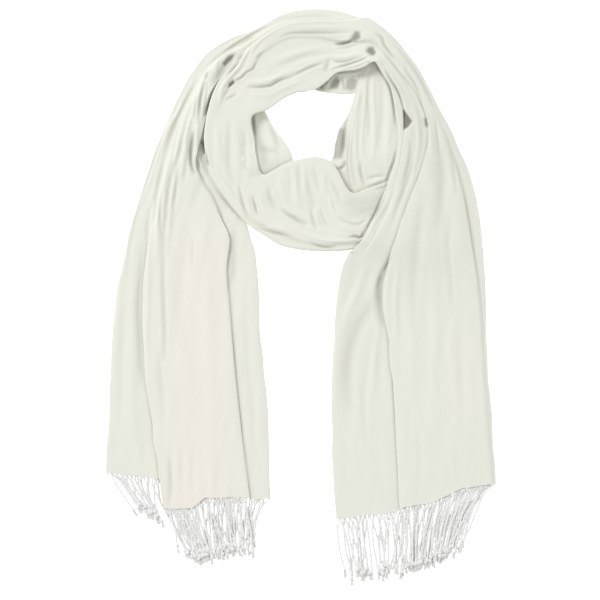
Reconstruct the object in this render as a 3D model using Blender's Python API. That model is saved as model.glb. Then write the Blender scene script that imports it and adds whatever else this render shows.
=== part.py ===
"""A pashmina shawl: one woven cloth, folded lengthwise to a quarter of its width, wound once round a
neck opening and laid flat, with a knotted fringe on both short ends.

Every table below is in millimetres: X to the right, Y towards the neck, Z up from the surface that
the shawl lies on. A stretch of the folded cloth is a row of sections across it. Each section runs
from the stretch's outer edge to its inner edge, and folds are lines that cross the sections.
"""

import math
from collections import namedtuple

import bmesh
import bpy
import numpy as np
from mathutils import Vector
from mathutils.bvhtree import BVHTree
from mathutils.geometry import delaunay_2d_cdt

MM = 0.001

# ---------------------------------------------------------------- driving sizes

SEAM_GAP = 0.3  # between stretches that go on into each other
LAY_GAP = 0.5  # between a panel and what it lies on
LEAST_WALL = 2.2  # least height of cloth above what it lies on
FOOT_INSET = 0.8  # the underside's edge, in from the roundest part of the side
GROOVE = 2.4  # depth of the grooves between the layers at a side edge
SHOULDER = 2.2  # how far in from the side a panel's top begins
REACH = 10.0  # how far round a place an upper panel feels what is under it
LEAST_STEP = 0.35  # least distance between two columns of points on a panel
CAP_WELD = 1e-6  # points of a cut end closer than this are one

CLOTH_COLOUR = (0.80, 0.80, 0.73, 1.0)
FRINGE_COLOUR = (0.78, 0.77, 0.71, 1.0)

# ---------------------------------------------------------------- tables

# One section of a stretch: its outer and inner ends on the surface, and the height of the cloth's
# top at each of them.
Section = namedtuple("Section", "outer_x outer_y inner_x inner_y outer_top inner_top")

# One place on a fold's line. A lapped fold raises the cloth beyond it by rise (or drops it, when
# negative) and doubles it back under itself by lap. A ridge has height only and no rise.
Place = namedtuple("Place", "x y rise lap width height", defaults=(0.0,))

# From the left hem up the left side and round the back of the neck to the pinch.
UNDER_SECTIONS = [
    Section(-215.6, -206, -34, -222, 4.0, 4.0),
    Section(-214, -170, -37, -175, 4.0, 4.0),
    Section(-212, -130, -39, -130, 4.0, 4.0),
    Section(-210, -80, -42, -82, 4.0, 4.0),
    Section(-208, -35, -46, -38, 4.0, 4.0),
    Section(-203, 8, -47, 8, 4.0, 4.0),
    Section(-196, 42, -49, 42, 4.2, 4.0),
    Section(-188, 78, -57, 78, 4.5, 4.0),
    Section(-178, 111, -68, 106, 5.0, 4.2),
    Section(-168, 141, -80, 132, 5.5, 5.0),
    Section(-158, 166, -88, 155, 6.0, 6.0),
    Section(-148, 188, -90, 176, 7.0, 7.0),
    Section(-139, 207, -88, 195, 8.0, 7.5),
    Section(-129, 229, -83, 211, 9.0, 8.0),
    Section(-117, 249, -76, 226, 9.0, 8.0),
    Section(-101, 268, -65, 240, 9.0, 8.0),
    Section(-77, 282, -50, 251, 9.0, 8.0),
    Section(-48, 293, -34, 259, 9.0, 8.0),
    Section(-20, 309, -13, 260, 9.0, 8.0),
    Section(9, 314, 7, 238, 9.0, 8.0),
    Section(37, 313, 28, 228, 9.0, 8.0),
    Section(57, 308, 47, 226, 9.0, 8.0),
    Section(69, 303, 57, 231, 8.0, 7.0),
    Section(75, 298, 61, 246, 7.0, 6.0),
]

# From under the crossing, out of the pinch and down the right of the opening.
DROP_SECTIONS = [
    Section(88, 266, 73, 267, 8.0, 7.0),
    Section(93, 253, 69, 252, 10.0, 8.0),
    Section(99, 236, 63, 236, 11.0, 8.0),
    Section(106, 218, 57, 218, 12.0, 8.0),
    Section(111, 200, 50, 200, 12.0, 7.0),
    Section(113, 184, 41, 185, 12.0, 6.0),
    Section(113, 168, 37, 169, 12.0, 6.0),
    Section(113, 152, 38, 153, 12.0, 6.0),
    Section(112, 136, 42, 138, 10.0, 6.0),
    Section(108, 118, 52, 122, 7.0, 5.0),
    Section(102, 104, 60, 108, 5.0, 4.0),
]

# The low inner layer of the left turn, from under the inner band down under the cowl.
INNER_SECTIONS = [
    Section(-68, 208, -44, 211, 7.0, 4.0),
    Section(-68, 196, -36, 197, 9.0, 5.0),
    Section(-67, 183, -28, 184, 10.0, 5.0),
    Section(-64, 170, -20, 170, 10.0, 5.0),
    Section(-61, 158, -14, 158, 10.0, 5.0),
    Section(-59, 146, -13, 146, 9.0, 5.0),
    Section(-58, 132, -16, 132, 7.0, 4.0),
]

# From under the right tail across the front, round the left turn, along the inner band, over the
# crossing and down the right side to the right hem.
OVER_SECTIONS = [
    Section(82, 62, 98, 130, 8.0, 9.0),
    Section(64, 56, 72, 120, 10.0, 12.0),
    Section(47, 52, 56, 117, 11.0, 14.0),
    Section(26, 50, 37, 137, 11.0, 15.0),
    Section(4, 51, 18, 150, 11.0, 15.0),
    Section(-18, 56, -2, 149, 11.0, 15.0),
    Section(-37, 65, -18, 147, 11.0, 15.0),
    Section(-57, 79, -42, 135, 12.0, 15.0),
    Section(-84, 109, -49, 151, 14.0, 16.0),
    Section(-103, 138, -53, 172, 16.0, 17.0),
    Section(-112, 168, -57, 190, 18.0, 18.0),
    Section(-108, 196, -54, 202, 19.0, 18.0),
    Section(-97, 223, -38, 206, 20.0, 18.0),
    Section(-84, 245, -22, 217, 21.0, 18.0),
    Section(-66, 266, -7, 225, 21.0, 18.0),
    Section(-43, 285, 6, 228, 21.0, 18.0),
    Section(-18, 299, 17, 230, 21.0, 18.0),
    Section(10, 303, 26, 233, 22.0, 18.0),
    Section(37, 303, 35, 240, 23.0, 19.0),
    Section(57, 303, 45, 250, 24.0, 21.0),
    Section(71, 305, 56, 257, 24.0, 24.0),
    Section(85, 299, 68, 262, 23.0, 26.0),
    Section(100, 288, 79, 263, 20.0, 27.0),
    Section(115, 271, 84, 259, 16.0, 27.0),
    Section(129, 249, 87, 253, 12.0, 26.0),
    Section(141, 227, 92, 243, 10.0, 25.0),
    Section(152, 206, 99, 228, 8.5, 23.0),
    Section(163, 184, 105, 206, 7.0, 22.0),
    Section(172, 162, 109, 184, 6.0, 21.0),
    Section(181, 141, 111, 160, 5.0, 20.0),
    Section(189, 114, 108, 139, 4.5, 19.0),
    Section(195, 86, 100, 115, 4.0, 18.5),
    Section(199, 59, 87, 88, 4.0, 18.0),
    Section(201, 36, 70, 63, 4.0, 17.0),
    Section(203, 10, 54, 44, 4.0, 12.0),
    Section(203, -14, 45, 20, 4.0, 7.0),
    Section(204, -44, 39, -16, 4.0, 4.5),
    Section(206, -86, 36, -70, 4.0, 4.0),
    Section(209, -127, 34, -124, 4.0, 4.0),
    Section(213, -170, 35, -177, 4.0, 4.0),
    Section(216, -207, 36, -222, 4.0, 4.0),
]

# Fold lines. Each lies over one stretch and is crossed by that stretch's sections.
LEFT_PANEL_FOLD = [
    Place(-147, -250, 4.5, 3.0, 3.0),
    Place(-156, -212, 4.5, 3.0, 3.0),
    Place(-164, -146, 4.5, 3.5, 3.0),
    Place(-172, -90, 4.5, 3.5, 3.0),
    Place(-178, -25, 4.5, 3.0, 3.0),
    Place(-175, 36, 4.5, 2.0, 3.5),
    Place(-169, 75, 5.0, 0.5, 5.0),
    Place(-158, 115, 5.5, 0.0, 6.0),
    Place(-134, 184, 6.0, 0.0, 6.0),
    Place(-117, 226, 6.0, 0.0, 5.0),
    Place(-100, 255, 6.0, 0.5, 4.0),
    Place(-62, 281, 5.5, 0.5, 4.0),
    Place(-18, 304, 5.0, 0.0, 4.0),
    Place(37, 308, 5.0, 0.0, 4.0),
    Place(80, 300, 4.0, 0.0, 4.0),
]
RIGHT_PANEL_FOLD = [
    Place(-54, -245, -4.5, 3.0, 3.0),
    Place(-57, -217, -4.5, 3.0, 3.0),
    Place(-66, -146, -4.5, 3.5, 3.0),
    Place(-74, -70, -4.5, 3.5, 3.0),
    Place(-81, 8, -4.5, 3.0, 3.0),
    Place(-81, 60, -4.5, 3.0, 3.0),
    Place(-95, 103, -5.5, 3.0, 3.0),
    Place(-114, 146, -6.5, 2.5, 3.0),
    Place(-115, 180, -7.0, 1.5, 3.0),
    Place(-106, 212, -7.0, 1.0, 3.0),
    Place(-93, 240, -7.0, 1.0, 3.0),
    Place(-76, 260, -7.0, 1.0, 3.0),
    Place(-40, 285, -6.0, 1.0, 3.0),
    Place(9, 300, -5.0, 1.0, 3.0),
    Place(62, 296, -5.0, 1.0, 3.0),
    Place(84, 286, -4.0, 1.0, 3.0),
]
LEFT_TAIL_RIDGE = [
    Place(-140, 130, 0, 0, 6.0, 0.0),
    Place(-150, 70, 0, 0, 6.0, 1.4),
    Place(-153, 0, 0, 0, 6.0, 1.4),
    Place(-150, -80, 0, 0, 6.0, 0.0),
]
DROP_INNER_FOLD = [
    Place(72, 272, 3.0, 0.0, 2.5),
    Place(70, 250, 3.5, 0.5, 2.5),
    Place(61, 216, 4.5, 1.5, 2.5),
    Place(55, 190, 6.0, 2.0, 2.5),
    Place(50, 160, 6.0, 2.0, 2.5),
    Place(55, 132, 4.0, 1.0, 2.5),
    Place(64, 104, 1.0, 0.0, 2.5),
]
DROP_VALLEY = [
    Place(79, 268, 0, 0, 3.0, 0.0),
    Place(76, 240, 0, 0, 3.5, -1.2),
    Place(66, 190, 0, 0, 3.5, -1.6),
    Place(61, 150, 0, 0, 3.5, -2.0),
    Place(67, 120, 0, 0, 3.5, -1.5),
    Place(72, 100, 0, 0, 3.5, 0.0),
]
INNER_CREASE = [
    Place(-56, 214, -3.0, 0.0, 3.0),
    Place(-52, 190, -4.0, 0.0, 3.0),
    Place(-44, 160, -3.5, 0.0, 3.0),
    Place(-40, 128, -2.0, 0.0, 3.0),
]
COWL_ROLL = [
    Place(88, 58, 1.5, 0.0, 3.0),
    Place(64, 65, 3.0, 1.0, 3.0),
    Place(31, 59, 3.5, 1.5, 3.0),
    Place(10, 61, 3.5, 1.5, 3.0),
    Place(-22, 71, 3.0, 1.0, 3.0),
    Place(-46, 82, 2.0, 0.0, 3.0),
    Place(-78, 112, 0.0, 0.0, 3.0),
]
COWL_VALLEY = [
    Place(66, 75, 0, 0, 5.0, 0.0),
    Place(34, 76, 0, 0, 5.0, -0.8),
    Place(6, 79, 0, 0, 5.0, -2.0),
    Place(-20, 94, 0, 0, 5.0, -2.2),
    Place(-46, 104, 0, 0, 5.0, -1.6),
    Place(-70, 132, 0, 0, 5.0, 0.0),
]
# One fold runs along the band's rim and on down the right tail, where its panel laps the left strip.
RIM_FOLD = [
    Place(-104, 180, 0.0, 0.0, 4.0),
    Place(-95, 202, -1.0, 0.5, 3.5),
    Place(-84, 218, -2.0, 1.0, 3.5),
    Place(-68, 237, -3.0, 1.5, 3.0),
    Place(-46, 266, -2.5, 1.0, 3.0),
    Place(-22, 280, -2.0, 0.5, 3.5),
    Place(30, 284, -3.0, 1.0, 3.0),
    Place(60, 284, -4.5, 1.4, 3.0),
    Place(78, 282, -4.5, 1.4, 3.0),
    Place(94, 271, -4.5, 2.0, 3.5),
    Place(110, 250, -4.5, 2.0, 3.5),
    Place(127, 226, -5.0, 2.5, 3.5),
    Place(138, 194, -5.0, 3.0, 3.5),
    Place(139, 166, -5.0, 3.5, 3.5),
    Place(126, 124, -5.0, 3.5, 3.5),
    Place(110, 82, -5.0, 4.0, 3.5),
    Place(96, 41, -5.0, 4.0, 3.5),
    Place(91, -3, -4.5, 4.0, 3.5),
    Place(98, -60, -4.5, 3.5, 3.5),
    Place(104, -146, -4.5, 3.0, 3.5),
    Place(108, -223, -4.5, 3.0, 3.5),
    Place(110, -260, -4.5, 3.0, 3.5),
]
BAND_VALLEY = [
    Place(-80, 212, 0, 0, 4.0, 0.0),
    Place(-57, 232, 0, 0, 4.0, -1.6),
    Place(-29, 234, 0, 0, 4.0, -2.4),
    Place(-10, 243, 0, 0, 4.0, -2.2),
    Place(12, 252, 0, 0, 5.0, -1.2),
    Place(40, 262, 0, 0, 5.0, 0.0),
]
RIGHT_EDGE_FOLD = [
    Place(92, 290, 0.0, 0.0, 3.0),
    Place(118, 262, 1.5, 0.0, 3.0),
    Place(146, 205, 3.0, 0.5, 3.0),
    Place(163, 165, 4.0, 1.5, 3.0),
    Place(178, 118, 4.5, 2.0, 3.0),
    Place(188, 62, 4.5, 2.0, 3.0),
    Place(195, 8, 4.5, 2.0, 3.0),
    Place(200, -58, 4.5, 1.0, 2.5),
    Place(204, -130, 4.5, 0.5, 2.5),
    Place(211, -215, 4.5, 0.5, 2.5),
    Place(213, -245, 4.5, 0.5, 2.5),
]
RIGHT_STRIP_FOLD = [
    Place(88, 262, 0.0, 0.0, 2.5),
    Place(96, 247, -2.5, 1.0, 2.5),
    Place(108, 226, -4.0, 1.5, 2.5),
    Place(114, 203, -6.0, 1.5, 3.0),
    Place(116, 184, -5.0, 1.5, 2.5),
    Place(115, 160, -4.0, 1.5, 2.5),
    Place(112, 142, -2.5, 1.0, 2.5),
    Place(106, 122, 0.0, 0.0, 2.5),
]

# A hem's outline: at a share across from the outer edge, how far the cloth reaches past the straight
# line of the last section. It steps where one panel ends and the next one, on another tier, begins.
HemPoint = namedtuple("HemPoint", "share reach")

LEFT_HEM = [
    HemPoint(0.0, -13),
    HemPoint(0.325, -12),
    HemPoint(0.345, 21),
    HemPoint(0.54, 15),
    HemPoint(0.61, 4),
    HemPoint(0.86, 0),
    HemPoint(0.885, 2),
    HemPoint(1.0, -1),
]
RIGHT_HEM = [
    HemPoint(0.0, -2),
    HemPoint(0.25, 0),
    HemPoint(0.36, 10),
    HemPoint(0.585, 10),
    HemPoint(0.61, 20),
    HemPoint(1.0, 21),
]
HEM_BLEND = 70.0  # over this length the hem's outline dies away up the tail

# One row of fringe, along one layer of one panel's end: the tail it hangs from, the shares of the
# hem between which it runs, its heights at the roots and at the tips, the line of its tips, how far
# its first and last strands bow to the left, and how many strands it has.
FringeRow = namedtuple(
    "FringeRow", "name tail first_share last_share height tip_height tips bows strands"
)
LAYER_HEIGHTS = {1: (1.3, 1.2), 2: (3.2, 2.7), 3: (5.6, 4.2), 4: (7.5, 5.7)}


def fringe_row(name, tail, shares, layer, tips, bows, strands):
    height, tip_height = LAYER_HEIGHTS[layer]
    return FringeRow(f"{name}_{layer}", tail, *shares, height, tip_height, tips, bows, strands)


FRINGE_ROWS = [
    fringe_row("fringe_left_outer", "left", (0.02, 0.29), 1,
               [(-174, -251), (-160, -257), (-144, -261)], (0, 5), 4),
    fringe_row("fringe_left_outer", "left", (0.04, 0.27), 2,
               [(-170, -244), (-158, -249), (-143, -252)], (0, 4), 4),
    fringe_row("fringe_left_main", "left", (0.41, 0.83), 1,
               [(-130, -283), (-104, -289), (-72, -281)], (-2, 4), 9),
    fringe_row("fringe_left_main", "left", (0.42, 0.84), 2,
               [(-120, -290), (-96, -284), (-66, -276)], (3, -2), 9),
    fringe_row("fringe_left_main", "left", (0.37, 0.83), 3,
               [(-126, -285), (-104, -291), (-64, -283)], (-2, 3), 10),
    fringe_row("fringe_left_main", "left", (0.38, 0.85), 4,
               [(-117, -291), (-90, -284), (-55, -280)], (2, 2), 10),
    fringe_row("fringe_left_inner", "left", (0.925, 0.985), 1,
               [(-62, -271), (-50, -277)], (2, 5), 3),
    fringe_row("fringe_left_inner", "left", (0.93, 0.975), 2,
               [(-57, -264), (-49, -268)], (2, 4), 2),
    fringe_row("fringe_right_main", "right", (0.02, 0.57), 1,
               [(173, -274), (156, -288), (138, -297), (113, -304)], (6, 0), 9),
    fringe_row("fringe_right_main", "right", (0.05, 0.55), 2,
               [(171, -283), (148, -293), (120, -300)], (4, -2), 9),
    fringe_row("fringe_right_main", "right", (0.03, 0.56), 3,
               [(170, -276), (146, -295), (107, -302)], (5, 2), 9),
    fringe_row("fringe_right_main", "right", (0.05, 0.57), 4,
               [(173, -281), (152, -292), (116, -308)], (5, -1), 9),
    fringe_row("fringe_right_inner", "right", (0.63, 0.985), 1,
               [(98, -307), (76, -314), (50, -307)], (-2, 2), 8),
    fringe_row("fringe_right_inner", "right", (0.64, 0.97), 2,
               [(104, -301), (82, -307), (58, -314)], (3, -2), 7),
]

HEM_GAP = 0.4  # between the cloth's end and the strip
FRINGE_WIDTH = 2.0  # across one strand
FRINGE_THICKNESS = 1.3
KNOT_WIDTH = 3.4
BOW_CHANGE = 1.5  # how much neighbouring strands differ in their bow
BOW_TURN = 2.4  # radians of that change from one strand to the next
STRIP_DEPTH = 3.0  # the woven edge that holds the strands' roots, along the strands


# ---------------------------------------------------------------- curves

STEP_SLOPE = 1.2  # how steeply a fold's step rises across the fold's width
LAP_PEAK = math.exp(0.5)  # the bend's own peak is 1/LAP_PEAK, so a fold doubles back by its whole lap


def smooth(knots, values, at):
    """Values on one smooth curve through the knots, read at the places asked for."""
    knots = np.asarray(knots, float)
    values = np.asarray(values, float)
    at = np.clip(np.asarray(at, float), knots[0], knots[-1])
    slopes = np.gradient(values, knots, axis=0)
    first = np.clip(np.searchsorted(knots, at, side="right") - 1, 0, len(knots) - 2)
    step = knots[first + 1] - knots[first]
    share = (at - knots[first]) / step
    if values.ndim == 2:
        step, share = step[:, None], share[:, None]
    start = (1 + 2 * share) * (1 - share) ** 2 * values[first]
    start += share * (1 - share) ** 2 * step * slopes[first]
    end = share**2 * (3 - 2 * share) * values[first + 1]
    end += share**2 * (share - 1) * step * slopes[first + 1]
    return start + end


def eased(share):
    """0 to 1 with level ends."""
    share = np.clip(share, 0.0, 1.0)
    return share * share * (3 - 2 * share)


def step_up(offset):
    """0 well before a fold, 1 well beyond it."""
    return 0.5 * (1 + np.tanh(STEP_SLOPE * offset))


# ---------------------------------------------------------------- folded cloth


class Fold:
    """A fold's line over the surface, with what it does to the cloth at each place."""

    STEPS_PER_PLACE = 12
    OUTSIDE = 0.4  # how far past a section's ends a crossing still counts, as a share of its width
    # Where a fold's columns of points stand, in widths of the fold to either side of its line.
    COLUMNS = (-2.2, -1.1, -0.4, 0.4, 1.1, 2.2)

    def __init__(self, places):
        table = np.array(places, float)
        count = (len(table) - 1) * self.STEPS_PER_PLACE + 1
        fine = smooth(np.arange(len(table)), table, np.linspace(0, len(table) - 1, count))
        self.path = fine[:, :2]
        self.values = fine[:, 2:]

    def crossing(self, outer, inner):
        """The share across a section at which the fold crosses it, and the fold's values there."""
        along = inner - outer
        rel = self.path - outer
        side = along[0] * rel[:, 1] - along[1] * rel[:, 0]
        for i in np.nonzero(side[:-1] * side[1:] <= 0)[0]:
            if side[i] == side[i + 1]:
                continue
            f = side[i] / (side[i] - side[i + 1])
            point = rel[i] + f * (rel[i + 1] - rel[i])
            share = float(point @ along / (along @ along))
            if -self.OUTSIDE < share < 1 + self.OUTSIDE:
                return share, self.values[i] + f * (self.values[i + 1] - self.values[i])
        return None


class Stretch:
    """One stretch of folded cloth between two stations of its table of sections."""

    def __init__(self, sections, folds, first, last, rows, layers, fillers, hem=None, hem_end=0):
        self.table = np.array(sections, float)
        self.folds = [Fold(places) for places in folds]
        self.stations = np.linspace(first, last, rows)
        self.layers = layers
        self.fillers = fillers
        self.hem = hem
        self.hem_end = hem_end
        values = smooth(np.arange(len(self.table)), self.table, self.stations)
        self.outer, self.inner, self.tops = values[:, 0:2], values[:, 2:4], values[:, 4:6]
        self.trim_ends(first, last)
        self.find_crossings()

    def trim_ends(self, first, last):
        """Pulls each cut end back by half the seam gap."""
        for end, beside in ((0, 1), (-1, -2)):
            for edge in (self.outer, self.inner):
                back = edge[beside] - edge[end]
                edge[end] += back / np.linalg.norm(back) * SEAM_GAP / 2

    def find_crossings(self):
        rows = len(self.stations)
        self.shares = np.zeros((len(self.folds), rows))
        self.values = np.zeros((len(self.folds), rows, 4))
        for k, fold in enumerate(self.folds):
            found = [fold.crossing(self.outer[r], self.inner[r]) for r in range(rows)]
            known = [r for r in range(rows) if found[r] is not None]
            self.shares[k] = np.interp(range(rows), known, [found[r][0] for r in known])
            for r in range(rows):
                nearest = min(known, key=lambda n: abs(n - r))
                self.values[k, r] = found[nearest][1]
                if found[r] is None:
                    self.values[k, r, [0, 1, 3]] = 0.0
        if self.hem is not None:
            self.values[:, self.hem_end, 1] = 0.0  # laps open out at the cut end

    def columns(self, row):
        """Shares across the section for the columns of points on top, each fold's beside it."""
        width = np.linalg.norm(self.inner[row] - self.outer[row])
        low, high = SHOULDER / width, 1 - SHOULDER / width
        shares = [low]
        order = np.argsort([self.shares[k, len(self.stations) // 2] for k in range(len(self.folds))])
        last = low
        for k in order:
            reach = self.values[k, row, 2] / width
            here = [self.shares[k, row] + c * reach for c in Fold.COLUMNS]
            shares += [last + (here[0] - last) * (f + 1) / (self.fillers + 1) for f in range(self.fillers)]
            shares += here
            last = here[-1]
        shares += [last + (high - last) * (f + 1) / (self.fillers + 1) for f in range(self.fillers)]
        shares.append(high)
        if self.hem is not None:
            shares = sorted(shares + [point.share for point in self.hem[1:-1]])
        return self.spread(np.array(shares), low, high, LEAST_STEP / width)

    @staticmethod
    def spread(shares, low, high, least):
        """Keeps the columns in order, at least so far apart and between the two shoulders."""
        count = len(shares)
        ramp = np.arange(count) * least
        shares = np.clip(shares, low, high)
        shares = np.maximum.accumulate(shares - ramp) + ramp
        if shares[-1] > high:
            shares = np.minimum(shares, high - (count - 1 - np.arange(count)) * least)
        return shares

    def top(self, row, shares):
        """Distance across and height of the cloth's top at these shares of one section."""
        width = np.linalg.norm(self.inner[row] - self.outer[row])
        distance = shares * width
        shift = np.zeros_like(distance)
        height = np.full_like(distance, self.tops[row, 0])
        rises = 0.0
        for k in range(len(self.folds)):
            rise, lap, reach, ridge = self.values[k, row]
            offset = (distance - self.shares[k, row] * width) / reach
            at_ends = step_up((np.array([0.0, width]) - self.shares[k, row] * width) / reach)
            shift -= lap * LAP_PEAK * offset * np.exp(-(offset**2) / 2)
            height += rise * (step_up(offset) - at_ends[0]) + ridge * np.exp(-(offset**2))
            rises += rise * (at_ends[1] - at_ends[0])
        height += (self.tops[row, 1] - self.tops[row, 0] - rises) * shares
        return distance + shift, height

    def hem_reach(self, row, shares):
        """How far this row's points lie past the section, where the tail nears its hem."""
        outline = np.array(self.hem, float)
        reach = np.interp(shares, outline[:, 0], outline[:, 1])
        middle = (self.outer + self.inner) / 2
        return reach * eased(1 - np.linalg.norm(middle[row] - middle[self.hem_end]) / HEM_BLEND)

    def past(self):
        """The direction in which the hem lies."""
        beside = 1 if self.hem_end == 0 else -2
        away = (self.outer[self.hem_end] + self.inner[self.hem_end]) / 2
        away -= (self.outer[beside] + self.inner[beside]) / 2
        return away / np.linalg.norm(away)

    def hem_spots(self, shares):
        """Places along the cut end of the cloth."""
        width = np.linalg.norm(self.inner[self.hem_end] - self.outer[self.hem_end])
        return self.place(self.hem_end, shares * width, shares)

    def place(self, row, distance, shares):
        """Points on the surface at these distances across one section."""
        across = self.inner[row] - self.outer[row]
        across /= np.linalg.norm(across)
        spots = self.outer[row] + np.outer(distance, across)
        if self.hem is None:
            return spots
        return spots + np.outer(self.hem_reach(row, shares), self.past())

    def foot_shares(self, inset, columns):
        """Shares across for the underside's points, from the inner side back to the outer."""
        shares = np.linspace(inset, 1 - inset, columns)
        if self.hem is not None:
            shares = np.union1d(shares, [point.share for point in self.hem[1:-1]])
        return shares[::-1]

    def ring(self, row, under):
        """One closed loop of points: up the outer side, across the top, down the inner side, and
        back along the underside."""
        width = np.linalg.norm(self.inner[row] - self.outer[row])
        foot_shares = self.foot_shares(FOOT_INSET / width, under.columns)
        foot_spots = self.place(row, foot_shares * width, foot_shares)
        foot = np.array([under.height(*spot) for spot in foot_spots])
        shares = self.columns(row)
        distance, height = self.top(row, shares)
        top_spots = self.place(row, distance, shares)
        support = np.array([under.height(*spot) for spot in top_spots])
        height = np.maximum(height, support + LEAST_WALL)
        outer_side = self.side(row, foot[-1], height[0], 0.0, 1)
        inner_side = self.side(row, foot[0], height[-1], width, -1)[::-1]
        parts = [outer_side, np.column_stack([top_spots, height]), inner_side]
        parts.append(np.column_stack([foot_spots, foot]))
        return np.vstack(parts)

    def side(self, row, low, high, edge, inwards):
        """The rounded noses of the stacked layers at one side, from the bottom up."""
        width = np.linalg.norm(self.inner[row] - self.outer[row])
        each = (high - low) / self.layers
        points = []
        for layer in range(self.layers):
            points.append((0.0, low + (layer + 0.5) * each))
            if layer < self.layers - 1:
                points.append((GROOVE, low + (layer + 1) * each))
        distance = np.array([edge + inwards * inset for inset, _ in points])
        spots = self.place(row, distance, distance / width)
        return np.column_stack([spots, [z for _, z in points]])

    def rings(self, under):
        return [self.ring(row, under) for row in range(len(self.stations))]

    def cap(self, end, ring, foot_columns):
        """Triangles over one cut end, as places in its ring."""
        across = self.inner[end] - self.outer[end]
        across /= np.linalg.norm(across)
        flat = [Vector(((point[:2] - self.outer[end]) @ across, point[2])) for point in ring]
        ties = self.hem_ties(foot_columns) if self.hem is not None and end == self.hem_end else []
        triangles_inside = 1
        found = delaunay_2d_cdt(flat, ties, [range(len(ring))], triangles_inside, CAP_WELD)
        places, triangles = found[3], found[2]
        return [[places[i][0] for i in triangle] for triangle in triangles]

    def hem_ties(self, foot_columns):
        """Upright edges at the hem's corners, from its top to its underside, as places in the ring."""
        width = np.linalg.norm(self.inner[self.hem_end] - self.outer[self.hem_end])
        top = self.columns(self.hem_end)
        foot = self.foot_shares(FOOT_INSET / width, foot_columns)
        side = 2 * self.layers - 1
        before_foot = 2 * side + len(top)
        corners = [point.share for point in self.hem[1:-1]]
        tops = [side + int(np.argmin(abs(top - share))) for share in corners]
        feet = [before_foot + int(np.argmin(abs(foot - share))) for share in corners]
        return list(zip(tops, feet))


class Floor:
    """The surface itself: an underside that is flat."""

    columns = 2

    @staticmethod
    def height(x, y):
        return 0.0


class Draped:
    """An underside that follows the stretches it lies on, and the surface where there are none."""

    DIRECTIONS = 8
    RINGS = (0.5, 1.0)
    ABOVE = 200.0

    def __init__(self, trees, columns):
        self.trees = trees
        self.columns = columns

    def height(self, x, y):
        spots = [(x, y)]
        for ring in self.RINGS:
            for turn in range(self.DIRECTIONS):
                angle = 2 * math.pi * turn / self.DIRECTIONS
                spots.append((x + ring * REACH * math.cos(angle), y + ring * REACH * math.sin(angle)))
        highest = 0.0
        for spot_x, spot_y in spots:
            for tree in self.trees:
                hit = tree.ray_cast(Vector((spot_x, spot_y, self.ABOVE)), Vector((0, 0, -1)))[0]
                if hit is not None:
                    highest = max(highest, hit.z + LAY_GAP)
        return highest


# ---------------------------------------------------------------- meshes


def cloth_material(name, colour, roughness):
    material = bpy.data.materials.new(name)
    material.use_nodes = True
    shader = material.node_tree.nodes["Principled BSDF"]
    shader.inputs["Base Color"].default_value = colour
    shader.inputs["Roughness"].default_value = roughness
    shader.inputs["Metallic"].default_value = 0.0
    return material


def add_object(name, mesh_maker, colour, roughness=0.9):
    mesh = bpy.data.meshes.new(name)
    work = bmesh.new()
    mesh_maker(work)
    bmesh.ops.recalc_face_normals(work, faces=work.faces)
    if work.calc_volume(signed=True) < 0:
        bmesh.ops.reverse_faces(work, faces=work.faces)
    tree = BVHTree.FromBMesh(work)
    bmesh.ops.scale(work, vec=(MM, MM, MM), verts=work.verts)
    work.to_mesh(mesh)
    work.free()
    mesh.materials.append(cloth_material(name, colour, roughness))
    bpy.context.scene.collection.objects.link(bpy.data.objects.new(name, mesh))
    return tree


def loft(stretch, under):
    """A closed skin over a stretch's rings of equal count, capped at both ends."""

    def build(work):
        rings = stretch.rings(under)
        loops = [[work.verts.new(point) for point in ring] for ring in rings]
        count = len(loops[0])
        for lower, upper in zip(loops, loops[1:]):
            for i in range(count):
                j = (i + 1) % count
                work.faces.new((lower[i], lower[j], upper[j], upper[i]))
        for end in (0, -1):
            for triangle in stretch.cap(end, rings[end], under.columns):
                work.faces.new([loops[end][i] for i in triangle])

    return build


# ---------------------------------------------------------------- fringe


def line_places(points, count):
    """Evenly spaced places along a smooth line through the points."""
    points = np.array(points, float)
    lengths = np.concatenate([[0], np.cumsum(np.linalg.norm(np.diff(points, axis=0), axis=1))])
    return smooth(lengths, points, np.linspace(0, lengths[-1], count))


def strand_sections(root, tip, row, bow):
    """Centres, half widths and half heights of one strand, from its root to its cut end."""
    table = (  # share along, half width, half height
        (0.30, 0.5 * FRINGE_WIDTH, 0.5 * FRINGE_THICKNESS),
        (0.62, 0.5 * FRINGE_WIDTH, 0.5 * FRINGE_THICKNESS),
        (0.88, 0.5 * KNOT_WIDTH, 0.55 * FRINGE_THICKNESS),
        (1.00, 0.3 * FRINGE_WIDTH, 0.4 * FRINGE_THICKNESS),
    )
    along = tip - root
    left = np.array([along[1], -along[0]]) / np.linalg.norm(along)
    for share, half_width, half_height in table:
        centre = root + share * along + bow * math.sin(math.pi * share) * left
        yield centre, left * half_width, half_height, row.height + (row.tip_height - row.height) * share


def strand_shares(row, tail):
    """Even shares of the hem, with the nearest strand moved to each of the hem's corners."""
    shares = np.linspace(row.first_share, row.last_share, row.strands)
    for point in tail.hem:
        if shares[0] < point.share < shares[-1]:
            shares[np.argmin(abs(shares - point.share))] = point.share
    return shares


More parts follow.
